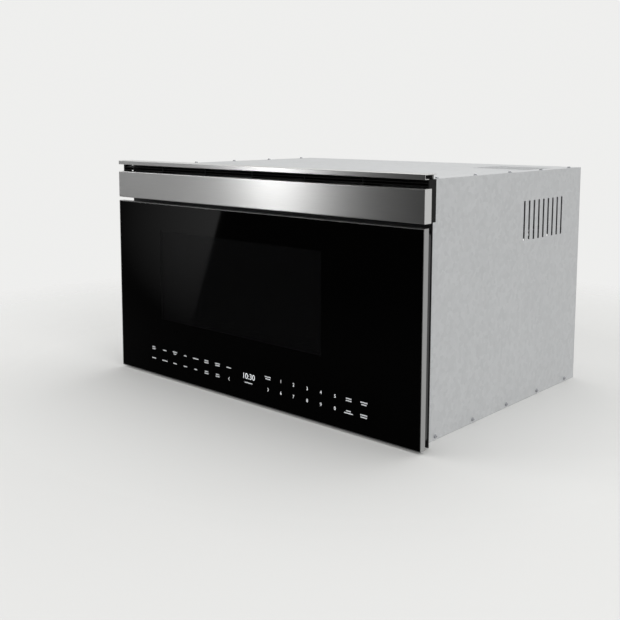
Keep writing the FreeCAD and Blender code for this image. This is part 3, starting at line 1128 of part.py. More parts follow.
def shaft_bush():
    """Square snap-in sleeve that the cross shaft turns in."""
    x = around(BEARING_TRACK, BUSH_LENGTH)
    body = track_block(x, around(SHAFT_Y, BUSH_SIZE), around(SHAFT_CENTRE_Z, BUSH_SIZE))
    start = Vec(TUB_CENTRE_X + x[0] - CUT, SHAFT_Y, SHAFT_CENTRE_Z)
    return body.cut(rod(SHAFT_RADIUS + BUSH_PLAY, BUSH_LENGTH + 2 * CUT, start, X_AXIS))


def shaft_bracket():
    """Bearing bracket on the base for one end of the cross shaft."""
    sheet = around(BEARING_TRACK, BEARING_SHEET)
    y = around(SHAFT_Y, BEARING_LENGTH)
    top = SHAFT_CENTRE_Z + BUSH_SIZE / 2 + BEARING_SHOULDER
    outline = [(y[0], SHEET), (y[1], SHEET), (y[1], SHAFT_CENTRE_Z), (y[1] - BEARING_SHOULDER, top),
               (y[0] + BEARING_SHOULDER, top), (y[0], SHAFT_CENTRE_Z)]
    wall = prism_x(outline, (TUB_CENTRE_X + sheet[0], TUB_CENTRE_X + sheet[1]))
    foot = track_block((sheet[0] - BEARING_FOOT, sheet[1]), y, (SHEET, SHEET + BEARING_SHEET))
    seat = track_block(grown(sheet, CUT), around(SHAFT_Y, BUSH_SIZE), around(SHAFT_CENTRE_Z, BUSH_SIZE))
    return fused([wall, foot]).cut(seat)


def motor_bracket():
    """Folded bracket on the base that the gearbox is screwed to, open round the output shaft."""
    sheet = (GEARBOX_FACE_X, GEARBOX_FACE_X + BEARING_SHEET)
    y = around(MOTOR_Y, GEARBOX_SIZE + 2 * BEARING_SHEET)
    wall = block(sheet, y, (SHEET, SHAFT_CENTRE_Z + GEARBOX_SIZE / 2 + BEARING_SHEET))
    foot = block((GEARBOX_FACE_X - GEARBOX_LENGTH, sheet[1]), y, (SHEET, SHEET + BEARING_SHEET))
    hole = block(grown(sheet, CUT), around(MOTOR_Y, MOTOR_SHAFT_HOLE),
                 around(SHAFT_CENTRE_Z, MOTOR_SHAFT_HOLE))
    return fused([wall, foot]).cut(hole)


def drive_motor():
    """Gear motor: square gearbox with the bore of its output shaft, and a round can behind it."""
    centre = Vec(GEARBOX_FACE_X, MOTOR_Y, SHAFT_CENTRE_Z)
    gearbox = block((GEARBOX_FACE_X - GEARBOX_LENGTH, GEARBOX_FACE_X), around(MOTOR_Y, GEARBOX_SIZE),
                    around(SHAFT_CENTRE_Z, GEARBOX_SIZE))
    can = rod(MOTOR_RADIUS, MOTOR_LENGTH - GEARBOX_LENGTH, centre - X_AXIS * MOTOR_LENGTH, X_AXIS)
    bore_start = centre - X_AXIS * GEARBOX_BORE_DEPTH
    bore = rod(MOTOR_SHAFT_RADIUS + BUSH_PLAY, GEARBOX_BORE_DEPTH + CUT, bore_start, X_AXIS)
    return fused([gearbox, can]).cut(bore)


# ---------------------------------------------------------------- air path
def exhaust_duct():
    """Sheet hood over the cavity's outlet slots that leads the air to the front plate's vents."""
    x = around(TUB_CENTRE_X, OUTLET_SPAN + 2 * DUCT_MARGIN)

    def hood(inset, past):
        back_y, throat_y = DUCT_BACK_Y - inset, INSIDE_Y + DUCT_THROAT - inset
        low, high = DOME_BOTTOM, BAND_TOP - DUCT_DROP - inset
        step_z = low + DUCT_STEP
        outline = [(INSIDE_Y - past, low - past), (back_y, low - past), (back_y, step_z), (throat_y, high),
                   (INSIDE_Y - past, high)]
        return prism_x(outline, grown(x, -inset))

    lip_notch = block(grown(x, CUT), (INSIDE_Y - CUT, INSIDE_Y + SHEET), (CAVITY_TOP, CAVITY_TOP + CAVITY_LIP))
    return without(hood(0, 0), [hood(SHEET, CUT), lip_notch])


# ---------------------------------------------------------------- drawer front
def window_block(y, grow=0.0):
    """The window's outline behind the glass, made bigger all round."""
    half = TUB_WIDTH / 2 - WINDOW_SIDE
    return block(around(TUB_CENTRE_X, 2 * (half + grow)), y,
                 (TUB_BOTTOM + WINDOW_LOW - grow, TUB_TOP - WINDOW_HIGH + grow))


def key_board_block(y, margin=0.0):
    """The touch-key board's outline on the glass, made bigger all round."""
    half = HALF_FRONT - KEY_MARGIN
    low = GLASS_BOTTOM + KEY_BOARD_LOW
    return block((-half - margin, half + margin), y, (low - margin, low + KEY_BOARD_HEIGHT + margin))


def front_glass():
    """Glass of the drawer front, bevelled all round."""
    edge = HALF_FRONT - TRIM
    plate = block((-edge, edge), (FACE_Y, GLASS_BACK_Y), (GLASS_BOTTOM + TRIM, GLASS_TOP - TRIM))
    return plate.makeChamfer(GLASS_BEVEL, [e for e in plate.Edges if e.CenterOfMass.y < FACE_Y + GLASS / 4])


def glass_trim():
    """Metal edge round the glass."""
    x, y, z = (-HALF_FRONT, HALF_FRONT), (FACE_Y, FACE_Y + TRIM_DEPTH), (GLASS_BOTTOM, GLASS_TOP)
    return block(x, y, z).cut(block(grown(x, -TRIM), grown(y, CUT), grown(z, -TRIM)))


def door_frame():
    """Pressed frame bonded to the glass: a pan open to the back, with the window and the key board let in."""
    x, z = (FRAME_INSET - HALF_FRONT, HALF_FRONT - FRAME_INSET), grown((GLASS_BOTTOM, GLASS_TOP), -FRAME_INSET)
    y = (GLASS_BACK_Y, FRONT_BACK_Y - SHEET)
    outer = rounded(block(x, y, z), FRAME_CORNER, Y_AXIS)
    hollow = block(grown(x, -FRAME_SHEET), (SCREEN_Y, y[1] + CUT), grown(z, -FRAME_SHEET))
    front_sheet = grown((GLASS_BACK_Y, SCREEN_Y), CUT)
    return without(outer, [bevelled(hollow, FRAME_CORNER - FRAME_SHEET, Y_AXIS), window_block(front_sheet),
                           key_board_block(front_sheet, CLEAR)])


def door_back_panel():
    """Flat panel that closes the drawer front's back, outside the choke."""
    y = (FRONT_BACK_Y - SHEET, FRONT_BACK_Y)
    panel = block((FRAME_INSET - HALF_FRONT, HALF_FRONT - FRAME_INSET), y,
                  grown((GLASS_BOTTOM, GLASS_TOP), -FRAME_INSET))
    return bevelled(panel, FRAME_CORNER / 2, Y_AXIS).cut(cavity_tunnel(CHOKE_WIDTH, grown(y, CUT)))


def choke_ring():
    """Choke round the cavity's mouth: a moulded ring with a quarter-wave groove facing the front plate."""
    y = (SCREEN_Y, FRONT_BACK_Y)
    passage = block(around(TUB_CENTRE_X, 2 * TUB_HALF), grown(y, CUT), (TUB_BOTTOM, TUB_TOP))
    groove_y = (FRONT_BACK_Y - CHOKE_GROOVE_DEPTH, FRONT_BACK_Y + CUT)
    groove = cavity_tunnel(CHOKE_LAND + CHOKE_GROOVE, groove_y)
    groove = groove.cut(cavity_tunnel(CHOKE_LAND, grown(groove_y, CUT)))
    return without(cavity_tunnel(CHOKE_WIDTH, y), [passage, groove])


def rf_screen():
    """Screen behind the window, here without its holes."""
    return window_block((SCREEN_Y, INNER_GLASS_Y), WINDOW_LAP)


def inner_glass():
    return window_block((INNER_GLASS_Y, TUB_FRONT_Y), WINDOW_LAP)


def touch_board():
    """Touch-key board bonded behind the glass, with its display module and connector."""
    low = GLASS_BOTTOM + KEY_BOARD_LOW
    back_y = GLASS_BACK_Y + KEY_BOARD
    middle_z = low + KEY_BOARD_HEIGHT / 2
    display = block(around(0, DISPLAY_WIDTH), (back_y, back_y + DISPLAY_DEPTH),
                    grown((low, low + KEY_BOARD_HEIGHT), -DISPLAY_EDGE))
    right = HALF_FRONT - KEY_MARGIN - CONNECTOR_INSET
    connector = block((right - CONNECTOR_LENGTH, right), (back_y, back_y + CONNECTOR_SIZE),
                      around(middle_z, CONNECTOR_SIZE))
    return fused([key_board_block((GLASS_BACK_Y, back_y)), display, connector])


def tub_outline(offset, front_y, z):
    """The tub's outline at a distance in from its walls, with rounded upright corners at the back."""
    body = block(around(TUB_CENTRE_X, 2 * (TUB_HALF - offset)), (front_y, TUB_REAR_Y - offset), z)
    return rounded(body, TUB_CORNER - offset, Z_AXIS, lambda p: p.y > CAVITY_CENTRE_Y)


def tub():
    """Food tub, open at the top: sheet walls with a folded rim and a window cut in the front one."""
    walls = tub_outline(0, TUB_FRONT_Y, (TUB_BOTTOM, TUB_TOP))
    rim = tub_outline(-TUB_RIM, FRONT_BACK_Y + CLEAR, (TUB_TOP - SHEET, TUB_TOP))
    inside = tub_outline(SHEET, TUB_FRONT_Y + SHEET, (TUB_BOTTOM + SHEET, TUB_TOP + CUT))
    return without(fused([walls, rim]), [inside, window_block(grown((TUB_FRONT_Y, TUB_FRONT_Y + SHEET), CUT))])


def tub_floor():
    """Ceramic plate in the bottom of the tub."""
    low = TUB_BOTTOM + SHEET
    return tub_outline(SHEET + CLEAR, TUB_FRONT_Y + SHEET + CLEAR, (low, low + FLOOR_PLATE))


def door_bumpers():
    """Rubber bumpers on the drawer front that meet the front plate."""
    return Part.makeCompound([block(around(x, BUMPER_SIZE), (FRONT_BACK_Y, PLATE_Y), around(z, BUMPER_SIZE))
                              for x in grown((-HALF_FRONT, HALF_FRONT), -BUMPER_INSET)
                              for z in grown((GLASS_BOTTOM, GLASS_TOP), -BUMPER_INSET)])


def main():
    middle = slide_middle()
    bearing = shaft_bracket()
    nodes = {
        "base_pan": base_pan(),
        "side_panel_left": side_panel(-1),
        "side_panel_right": side_panel(1),
        "top_cover": top_cover(),
        "rear_panel": rear_panel(),
        "cord_bushing": cord_bushing(),
        "front_plate": front_plate(),
        "header_strip": header_strip(),
        "header_band": header_band(),
        "header_housing": header_housing(),
        "cavity_shell": cavity_shell(),
        "stirrer_cover": stirrer_cover(),
        "stirrer_motor": stirrer_motor(),
        "stirrer_blade": stirrer_blade(),
        "waveguide": waveguide(),
        "magnetron_body": magnetron_body(),
        "magnetron_fins": magnetron_fins(),
        "transformer_core": transformer_core(),
        "transformer_coils": transformer_coils(),
        "hv_capacitor": hv_capacitor(),
        "noise_filter": noise_filter(),
        "power_board": power_board(),
        "oven_lamp": oven_lamp(),
        "fan_shroud": fan_shroud(),
        "fan_motor": fan_motor(),
        "fan_wheel": fan_wheel(),
        "interlock_switches": Part.makeCompound([interlock_switch(x) for x in TONGUES]),
        "interlock_brackets": Part.makeCompound([interlock_bracket(x) for x in TONGUES]),
        "interlock_lever_left": interlock_lever(TONGUES[0]),
        "interlock_lever_right": interlock_lever(TONGUES[1]),
        "slide_brackets": both_sides(slide_bracket()),
        "slides_fixed": both_sides(slide_fixed()),
        "slide_middle_right": middle,
        "slide_middle_left": mirrored_about(middle, TUB_CENTRE_X),
        "ball_cages_outer": both_sides(ball_cage(OUTER_CAGE_WEB, FIXED_HALF - SLIDE_SHEET - RACE / 2)),
        "ball_cages_inner": both_sides(ball_cage(INNER_CAGE_WEB, MIDDLE_HALF - SLIDE_SHEET - RACE / 2)),
        "slides_inner": both_sides(slide_inner()),
        "drawer_arms": both_sides(drawer_arm()),
        "racks": both_sides(rack()),
        "drive_pinions": both_sides(drive_pinion()),
        "cross_shaft": cross_shaft(),
        "shaft_gear": shaft_gear(),
        "shaft_bushes": both_sides(shaft_bush()),
        "shaft_brackets": Part.makeCompound([bearing, mirrored_about(bearing, TUB_CENTRE_X), motor_bracket()]),
        "drive_motor": drive_motor(),
        "motor_pinion": motor_pinion(),
        "exhaust_duct": exhaust_duct(),
        "front_glass": front_glass(),
        "glass_trim": glass_trim(),
        "door_frame": door_frame(),
        "door_back_panel": door_back_panel(),
        "choke_ring": choke_ring(),
        "rf_screen": rf_screen(),
        "inner_glass": inner_glass(),
        "touch_board": touch_board(),
        "tub": tub(),
        "tub_floor": tub_floor(),
        "switch_tongues": Part.makeCompound([switch_tongue(x) for x in TONGUES]),
        "door_bumpers": door_bumpers(),
    }
    os.makedirs("parts", exist_ok=True)
    for node, shape in nodes.items():
        shape.exportStep(f"parts/{node}.step")
    print(len(nodes), "nodes")


main()
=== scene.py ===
"""Looks of a built-in microwave oven with a power-driven drawer, in metres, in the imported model's frame.

The model's own pieces keep their shape and get a finish each. What is added: the lit signs on the glass,
screws, rivets and spot welds, the small parts on the boards, and the lamp's guard.
"""

import json
import math

import bmesh
import bpy
from mathutils import Matrix, Quaternion, Vector

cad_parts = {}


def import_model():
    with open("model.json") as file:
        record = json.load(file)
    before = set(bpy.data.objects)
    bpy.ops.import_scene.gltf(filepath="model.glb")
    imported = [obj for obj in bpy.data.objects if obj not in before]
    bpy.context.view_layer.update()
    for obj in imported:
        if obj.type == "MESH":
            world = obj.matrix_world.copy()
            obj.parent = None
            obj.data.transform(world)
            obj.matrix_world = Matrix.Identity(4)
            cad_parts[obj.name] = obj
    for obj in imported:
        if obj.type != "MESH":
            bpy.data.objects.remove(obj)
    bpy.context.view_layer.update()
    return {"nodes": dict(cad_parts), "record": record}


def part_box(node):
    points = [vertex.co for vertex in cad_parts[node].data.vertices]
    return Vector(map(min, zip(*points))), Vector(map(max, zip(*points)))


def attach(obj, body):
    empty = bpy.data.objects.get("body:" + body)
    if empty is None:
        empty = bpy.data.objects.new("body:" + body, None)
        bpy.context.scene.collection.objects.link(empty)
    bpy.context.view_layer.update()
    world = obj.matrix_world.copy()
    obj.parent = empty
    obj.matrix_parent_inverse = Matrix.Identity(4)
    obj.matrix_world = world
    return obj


MM = 0.001

# ---------------------------------------------------------------- camera and light
CAMERA_PLACE = (1.1422, -1.4009, 0.5113)
CAMERA_YAW, CAMERA_PITCH = 0.74797, 0.11806
CAMERA_LENS = 52.0                     # a little wider than the photograph's, so that the whole case fits
CAMERA_SHIFT = (0.03, -0.13)

PALE = (0.86, 0.86, 0.85, 1.0)
FLOOR_NEAR, FLOOR_FAR = 0.70, 1.35     # the floor fades into the pale backdrop between these radii
FLOOR_UNREFLECTED = 0.96               # share of the floor that reflections leave out
FLOOR_DROP = 0.5 * MM                  # floor below the feet, so that the two faces don't meet
SIDE_LIT = (-0.62, 0.10)               # how far round to the front the reflected studio is dark, and is lit
AHEAD_LIT = (-0.93, -0.98)             # the same for the part straight in front of the oven
AHEAD_SHARE = 0.5
FILL = 0.62                            # strength of the backdrop as a light
REFLECTED_DARK, REFLECTED_LIT = 0.02, 0.9

# ---------------------------------------------------------------- signs on the glass
SIGN_PROUD = 0.05 * MM                 # print in front of the glass
UPPER_ROW, LOWER_ROW = 57.8 * MM, 36.6 * MM
LEFT_COLUMNS = (-274.7, -240.2, -208.6, -177.1, -146.4, -115.1, -83.9, -52.9)
RIGHT_COLUMNS = (49.2, 81.4, 111.6, 143.7, 174.9, 206.2, 235.7, 267.6)
# how many strokes stand in each line of a key's mark, key by key
LEFT_ABOVE = ((7, 7), (8,), (10, 6), (6,), (12,), (8, 9), (10, 9), (9,))
LEFT_BELOW = ((9,), (12,), (8,), (8,), (6,), (7, 8), (7, 8))
FIRST_RIGHT = (11, 9)
RIGHT_ABOVE = ((9, 9), (11, 8))
RIGHT_BELOW = ((8, 14), (11, 10))
STROKE_WIDTH, STROKE_PITCH, STROKE_HEIGHT = 0.75 * MM, 1.35 * MM, 1.9 * MM
LINE_SPACING = 3.8 * MM
ARROW_HEIGHT, DIGIT_HEIGHT = 6.6 * MM, 6.0 * MM
CLOCK_HEIGHT, CLOCK_Z = 10.4 * MM, 50.5 * MM
CLOCK_STROKES, CLOCK_LINE_Z = 15, 39.0 * MM
CAP_SHARE = 0.70                       # height of the font's digits as a share of its size

# ---------------------------------------------------------------- shader arithmetic
class Wire:
    """A node's output that can be used in arithmetic. Each operation adds a Math node."""

    def __init__(self, tree, socket):
        self.tree = tree
        self.socket = socket

    def math(self, operation, *operands):
        node = self.tree.nodes.new("ShaderNodeMath")
        node.operation = operation
        for socket, value in zip(node.inputs, operands):
            feed(self.tree, socket, value)
        return Wire(self.tree, node.outputs[0])

    def __add__(self, other):
        return self.math("ADD", self, other)

    __radd__ = __add__

    def __sub__(self, other):
        return self.math("SUBTRACT", self, other)

    def __rsub__(self, other):
        return self.math("SUBTRACT", other, self)

    def __mul__(self, other):
        return self.math("MULTIPLY", self, other)

    __rmul__ = __mul__

    def __truediv__(self, other):
        return self.math("DIVIDE", self, other)

    def __lt__(self, other):
        return self.math("LESS_THAN", self, other)

    def __gt__(self, other):
        return self.math("GREATER_THAN", self, other)

    def __mod__(self, other):
        return self.math("FLOORED_MODULO", self, other)

    def __pow__(self, power):
        return self.math("POWER", self, power)

    def mapped(self, low, high):
        """A 0 to 1 value carried to a range."""
        return self * (high - low) + low

    def ramp(self, start, end):
        """0 at one value and 1 at another, and never outside."""
        share = (self - start) / (end - start)
        return self.math("MINIMUM", self.math("MAXIMUM", share, 0.0), 1.0)


def feed(tree, socket, value):
    """Links a wire to a socket, or sets the socket's own value."""
    if isinstance(value, Wire):
        tree.links.new(value.socket, socket)
    else:
        socket.default_value = value


class Finish:
    """A material: fixed values on its shader, and nodes that vary them over the surface."""

    def __init__(self, name, colour, roughness, metallic=0.0, fixed=None):
        self.material = bpy.data.materials.new(name)
        self.material.use_nodes = True
        self.tree = self.material.node_tree
        self.shader = self.tree.nodes["Principled BSDF"]
        self.set({"Base Color": (*colour, 1.0), "Roughness": roughness, "Metallic": metallic})
        self.set(fixed or {})

    def set(self, values):
        for name, value in values.items():
            feed(self.tree, self.shader.inputs[name], value)

    def node(self, kind, settings=None, inputs=None, output=0):
        """Any node: its type, its settings, its sockets' values or wires, and the output that is used."""
        node = self.tree.nodes.new(kind)
        for name, value in (settings or {}).items():
            setattr(node, name, value)
        for key, value in (inputs or {}).items():
            feed(self.tree, node.inputs[key], value)
        return Wire(self.tree, node.outputs[output])

    def place(self, scale=(1, 1, 1)):
        """The point on the object, stretched along its axes."""
        point = self.node("ShaderNodeTexCoord", output="Object")
        return self.node("ShaderNodeMapping", inputs={"Vector": point, "Scale": scale})

    def axis(self, name):
        """One coordinate of the point on the object, in metres."""
        point = self.node("ShaderNodeTexCoord", output="Object")
        return self.node("ShaderNodeSeparateXYZ", inputs={0: point}, output="XYZ".index(name))

    def noise(self, scale, stretch=(1, 1, 1), detail=3.0, roughness=0.5):
        return self.node("ShaderNodeTexNoise",
                         inputs={"Vector": self.place(stretch), "Scale": scale, "Detail": detail,
                                 "Roughness": roughness})

    def between(self, mask, low, high):
        """Two colours mixed by a mask."""
        return self.node("ShaderNodeMix", {"data_type": "RGBA"},
                         {0: mask, 6: (*low, 1.0), 7: (*high, 1.0)}, output=2)

    def bump(self, height, depth):
        """Relief of a depth in metres."""
        self.set({"Normal": self.node("ShaderNodeBump", inputs={"Strength": 1.0, "Distance": depth,
                                                                "Height": height})})


# ---------------------------------------------------------------- finishes
HOLE_REACH = 0.13                      # square of a hole's radius, as a share of the pitch
WINDOW_LAP = 4.0 * MM                  # the print laps over the screen's edge


def speckled(name, dark, light, roughness, scale=60.0, metallic=0.0, grain=0.00003, fixed=None):
    """A plain finish with a faint, fine variation: paint, moulding or rubber."""
    finish = Finish(name, light, roughness, metallic, fixed)
    cloud = finish.noise(scale)
    finish.set({"Base Color": finish.between(cloud, dark, light),
                "Roughness": cloud.mapped(roughness * 0.88, min(roughness * 1.12, 1.0))})
    finish.bump(finish.noise(1400.0, detail=1.0), grain)
    return finish.material


def brushed(name, dark, light, roughness, grain_along="X", depth=0.00004, fixed=None):
    """Metal brushed along one axis."""
    finish = Finish(name, light, roughness, 1.0, fixed)
    stretch = [1.0 if axis == grain_along else 90.0 for axis in "XYZ"]
    lines = finish.noise(28.0, stretch, detail=3.0, roughness=0.6)
    finish.set({"Base Color": finish.between(lines, dark, light),
                "Roughness": lines.mapped(roughness - 0.04, roughness + 0.06)})
    finish.bump(lines, depth)
    return finish.material


def zinc_sheet():
    """Zinc-coated sheet with a faint spangle."""
    finish = Finish("zinc_sheet", (0.60, 0.61, 0.62), 0.46, 0.6)
    spangle = finish.node("ShaderNodeTexVoronoi", inputs={"Vector": finish.place(), "Scale": 130.0}, output=1)
    shade = finish.node("ShaderNodeSeparateColor", inputs={0: spangle})
    cloud = finish.noise(9.0)
    finish.set({"Base Color": finish.between(shade * 0.6 + cloud * 0.4, (0.54, 0.55, 0.56), (0.65, 0.66, 0.67)),
                "Roughness": shade.mapped(0.43, 0.50)})
    return finish.material


def black_glass():
    """Polished glass, printed black behind, but for the see-through window."""
    finish = Finish("black_glass", (0.001, 0.001, 0.001), 0.045, fixed={"Specular IOR Level": 0.15})
    low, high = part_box("rf_screen")
    inside = ((finish.axis("X") > low.x + WINDOW_LAP) * (finish.axis("X") < high.x - WINDOW_LAP)
              * (finish.axis("Z") > low.z + WINDOW_LAP) * (finish.axis("Z") < high.z - WINDOW_LAP))
    smear = finish.noise(7.0, detail=2.0)
    finish.set({"Base Color": finish.between(inside, (0.0006, 0.0006, 0.0006), (0.0034, 0.0034, 0.0036)),
                "Alpha": 1.0 - inside * 0.35,
                "Roughness": smear.mapped(0.035, 0.065)})
    return finish.material


def clear_glass(name, tint, roughness=0.02):
    finish = Finish(name, tint, roughness, fixed={"Transmission Weight": 0.9, "IOR": 1.5, "Alpha": 0.6})
    finish.set({"Roughness": finish.noise(12.0).mapped(roughness, roughness + 0.03)})
    return finish.material


def perforated(name, colour, axis, pitch, metallic=0.4):
    """Sheet with a close pattern of round holes, along one level axis and Z."""
    finish = Finish(name, colour, 0.45, metallic)
    across = finish.axis(axis) / pitch
    up = finish.axis("Z") / pitch
    shift = ((up % 2.0) > 1.0) * 0.5
    dx = ((across + shift) % 1.0) - 0.5
    dz = (up % 1.0) - 0.5
    hole = (dx * dx + dz * dz) < HOLE_REACH
    finish.set({"Alpha": 1.0 - hole, "Roughness": finish.noise(40.0).mapped(0.38, 0.52)})
    return finish.material


def circuit_board():
    """Green board with a darker ground and paler square patches of track."""
    finish = Finish("circuit_board", (0.03, 0.16, 0.08), 0.42)
    reach = finish.node("ShaderNodeTexVoronoi", {"distance": "CHEBYCHEV"},
                        {"Vector": finish.place(), "Scale": 150.0, "Randomness": 0.7})
    finish.set({"Base Color": finish.between(reach.ramp(0.30, 0.42), (0.06, 0.26, 0.12), (0.02, 0.12, 0.06)),
                "Roughness": finish.noise(50.0).mapped(0.34, 0.5)})
    return finish.material


def windings():
    """Enamelled copper wire in level turns, with painted shade: the colour runs darker in the grooves between
    turns and lighter on the turns.
    """
    finish = Finish("windings", (0.55, 0.22, 0.07), 0.32, 0.85)
    turns_and_groove_shade = finish.node("ShaderNodeTexWave", {"bands_direction": "Z"},
                        {"Vector": finish.place(), "Scale": 160.0, "Distortion": 0.6, "Detail": 1.0}, output=1)
    # painted shade: the colour follows the relief, darker in each groove between turns and lighter on each turn
    finish.set({"Base Color": finish.between(turns_and_groove_shade, (0.30, 0.10, 0.03), (0.66, 0.30, 0.10)),
                "Roughness": turns_and_groove_shade.mapped(0.26, 0.46)})
    finish.bump(turns_and_groove_shade, 0.0003)
    return finish.material


def laminations():
    """Varnished steel sheets, stacked front to back."""
    finish = Finish("laminations", (0.10, 0.10, 0.11), 0.5, 0.5)
    sheets = finish.node("ShaderNodeTexWave", {"bands_direction": "Y"},
                         {"Vector": finish.place(), "Scale": 320.0}, output=1)
    finish.set({"Base Color": finish.between(sheets, (0.05, 0.05, 0.055), (0.16, 0.15, 0.15)),
                "Roughness": sheets.mapped(0.4, 0.6)})
    finish.bump(sheets, 0.0001)
    return finish.material


def sign_print():
    """White print on the glass, lit from behind."""
    finish = Finish("sign_print", (0.80, 0.81, 0.82), 0.5,
                    fixed={"Emission Color": (0.92, 0.95, 1.0, 1.0), "Emission Strength": 0.45})
    finish.set({"Roughness": finish.noise(200.0).mapped(0.45, 0.6)})
    return finish.material


def make_finishes():
    """One finish for each material slot of the model."""
    return {
        "stainless": brushed("stainless", (0.58, 0.58, 0.58), (0.70, 0.70, 0.69), 0.31, depth=0.000004,
                             fixed={"Anisotropic": 0.9, "Anisotropic Rotation": 0.25}),
        "trim_metal": brushed("trim_metal", (0.30, 0.30, 0.30), (0.46, 0.46, 0.46), 0.34),
        "zinc_sheet": zinc_sheet(),
        "black_glass": black_glass(),
        "clear_glass": clear_glass("clear_glass", (0.80, 0.84, 0.84)),
        # black_paint is darker than plain black paint, so that the front plate seen through the gap under the
        # band reads as shade: black paint with painted shade
        "black_paint": speckled("black_paint", (0.007, 0.007, 0.008), (0.012, 0.012, 0.013), 0.42),
        # black_moulding is darker than plain black plastic, so that the lit louvre blades of the vent slot read
        # as the slot's shade: black plastic with painted shade
        "black_moulding": speckled("black_moulding", (0.003, 0.003, 0.003), (0.006, 0.006, 0.006), 0.6,
                                   fixed={"Specular IOR Level": 0.15}),
        "cavity_paint": speckled("cavity_paint", (0.50, 0.51, 0.52), (0.60, 0.61, 0.62), 0.36),
        "screen_sheet": perforated("screen_sheet", (0.035, 0.035, 0.036), "X", 2.4 * MM),
        "lamp_guard": perforated("lamp_guard", (0.55, 0.56, 0.57), "Y", 3.6 * MM, 0.0),
        "ceramic_disc": speckled("ceramic_disc", (0.10, 0.22, 0.42), (0.14, 0.28, 0.50), 0.4),
        "resistor_body": speckled("resistor_body", (0.62, 0.50, 0.32), (0.72, 0.60, 0.42), 0.5),
        "ceramic_plate": speckled("ceramic_plate", (0.78, 0.78, 0.76), (0.86, 0.86, 0.84), 0.16, scale=25.0),
        "mica": speckled("mica", (0.60, 0.56, 0.48), (0.74, 0.70, 0.62), 0.6, scale=120.0),
        "slide_steel": brushed("slide_steel", (0.52, 0.53, 0.55), (0.72, 0.73, 0.75), 0.28, "Y"),
        "gear_plastic": speckled("gear_plastic", (0.74, 0.72, 0.66), (0.84, 0.83, 0.78), 0.4),
        "machined_steel": brushed("machined_steel", (0.46, 0.47, 0.49), (0.62, 0.63, 0.65), 0.25, "X"),
        "lamination": laminations(),
        "winding": windings(),
        "circuit_board": circuit_board(),
        "fin_aluminium": brushed("fin_aluminium", (0.66, 0.67, 0.68), (0.82, 0.83, 0.84), 0.3, "Y"),
        "motor_case": speckled("motor_case", (0.24, 0.25, 0.26), (0.34, 0.35, 0.36), 0.4, metallic=0.6),
        "white_moulding": speckled("white_moulding", (0.72, 0.72, 0.70), (0.82, 0.82, 0.80), 0.45),
        "bumper_rubber": speckled("bumper_rubber", (0.020, 0.020, 0.020), (0.035, 0.035, 0.035), 0.8),
        "capacitor_can": brushed("capacitor_can", (0.56, 0.57, 0.58), (0.70, 0.71, 0.72), 0.32, "Y"),
        "lamp": clear_glass("lamp", (0.90, 0.88, 0.80)),
    }


def dress(frame, finishes):
    """Gives each node of the model its slot's finish."""
    for part in frame["record"]["subparts"]:
        mesh = frame["nodes"][part["node"]].data
        mesh.materials.clear()
        mesh.materials.append(finishes[part["material_slot"]])


# ---------------------------------------------------------------- small shapes
def turned(name, rings, sides=12):
    """A small turned shape from (radius, height, corners) rings in millimetres, where 0 corners is round."""
    shape = bmesh.new()
    loops = []
    for radius, height, corners in rings:
        loop = []
        for i in range(sides):
            angle = 2 * math.pi * i / sides
            reach = radius * MM
            if corners:
                wedge = 2 * math.pi / corners
                reach *= math.cos(wedge / 2) / math.cos(angle % wedge - wedge / 2)
            loop.append(shape.verts.new((reach * math.cos(angle), reach * math.sin(angle), height * MM)))
        loops.append(loop)
    for below, above in zip(loops, loops[1:]):
        for i in range(sides):
            shape.faces.new((below[i], below[i - sides + 1], above[i - sides + 1], above[i]))
    shape.faces.new(loops[0][::-1])
    shape.faces.new(loops[-1])
    return as_mesh(name, shape)


def as_mesh(name, shape):
    mesh = bpy.data.meshes.new(name)
    shape.to_mesh(mesh)
    shape.free()
    return mesh


def crate(name, length, width, height, edge):
    """A small block in millimetres with bevelled upper edges, standing on its face."""
    shape = bmesh.new()
    bmesh.ops.create_cube(shape, size=1.0)
    bmesh.ops.transform(shape, verts=shape.verts,
                        matrix=Matrix.Diagonal((length * MM, width * MM, height * MM, 1.0))
                        @ Matrix.Translation((0.0, 0.0, 0.5)))
    upper = [e for e in shape.edges if all(v.co.z > 0 for v in e.verts)]
    bmesh.ops.bevel(shape, geom=upper, offset=edge * MM, segments=1, affect="EDGES")
    return as_mesh(name, shape)


def spread_tree():
    """Node tree that sets a shape on each point, turned by the point's own angles."""
    tree = bpy.data.node_groups.new("spread", "GeometryNodeTree")
    tree.interface.new_socket("Geometry", in_out="INPUT", socket_type="NodeSocketGeometry")
    tree.interface.new_socket("Shape", in_out="INPUT", socket_type="NodeSocketObject")
    tree.interface.new_socket("Finish", in_out="INPUT", socket_type="NodeSocketMaterial")
    tree.interface.new_socket("Size", in_out="INPUT", socket_type="NodeSocketFloat")
    tree.interface.new_socket("Geometry", in_out="OUTPUT", socket_type="NodeSocketGeometry")

    def node(kind, settings=None):
        made = tree.nodes.new(kind)
        for name, value in (settings or {}).items():
            setattr(made, name, value)
        return made

    given, result = node("NodeGroupInput"), node("NodeGroupOutput")
    shape = node("GeometryNodeObjectInfo")
    turn = node("GeometryNodeInputNamedAttribute", {"data_type": "FLOAT_VECTOR"})
    turn.inputs["Name"].default_value = "turn"
    copies = node("GeometryNodeInstanceOnPoints")
    solid = node("GeometryNodeRealizeInstances")
    painted = node("GeometryNodeSetMaterial")
    for start, end in (
        (given.outputs["Geometry"], copies.inputs["Points"]),
        (given.outputs["Shape"], shape.inputs["Object"]),
        (shape.outputs["Geometry"], copies.inputs["Instance"]),
        (turn.outputs["Attribute"], copies.inputs["Rotation"]),
        (given.outputs["Size"], copies.inputs["Scale"]),
        (copies.outputs["Instances"], solid.inputs["Geometry"]),
        (solid.outputs["Geometry"], painted.inputs["Geometry"]),
        (given.outputs["Finish"], painted.inputs["Material"]),
        (painted.outputs["Geometry"], result.inputs["Geometry"]),
    ):
        tree.links.new(start, end)
    return tree


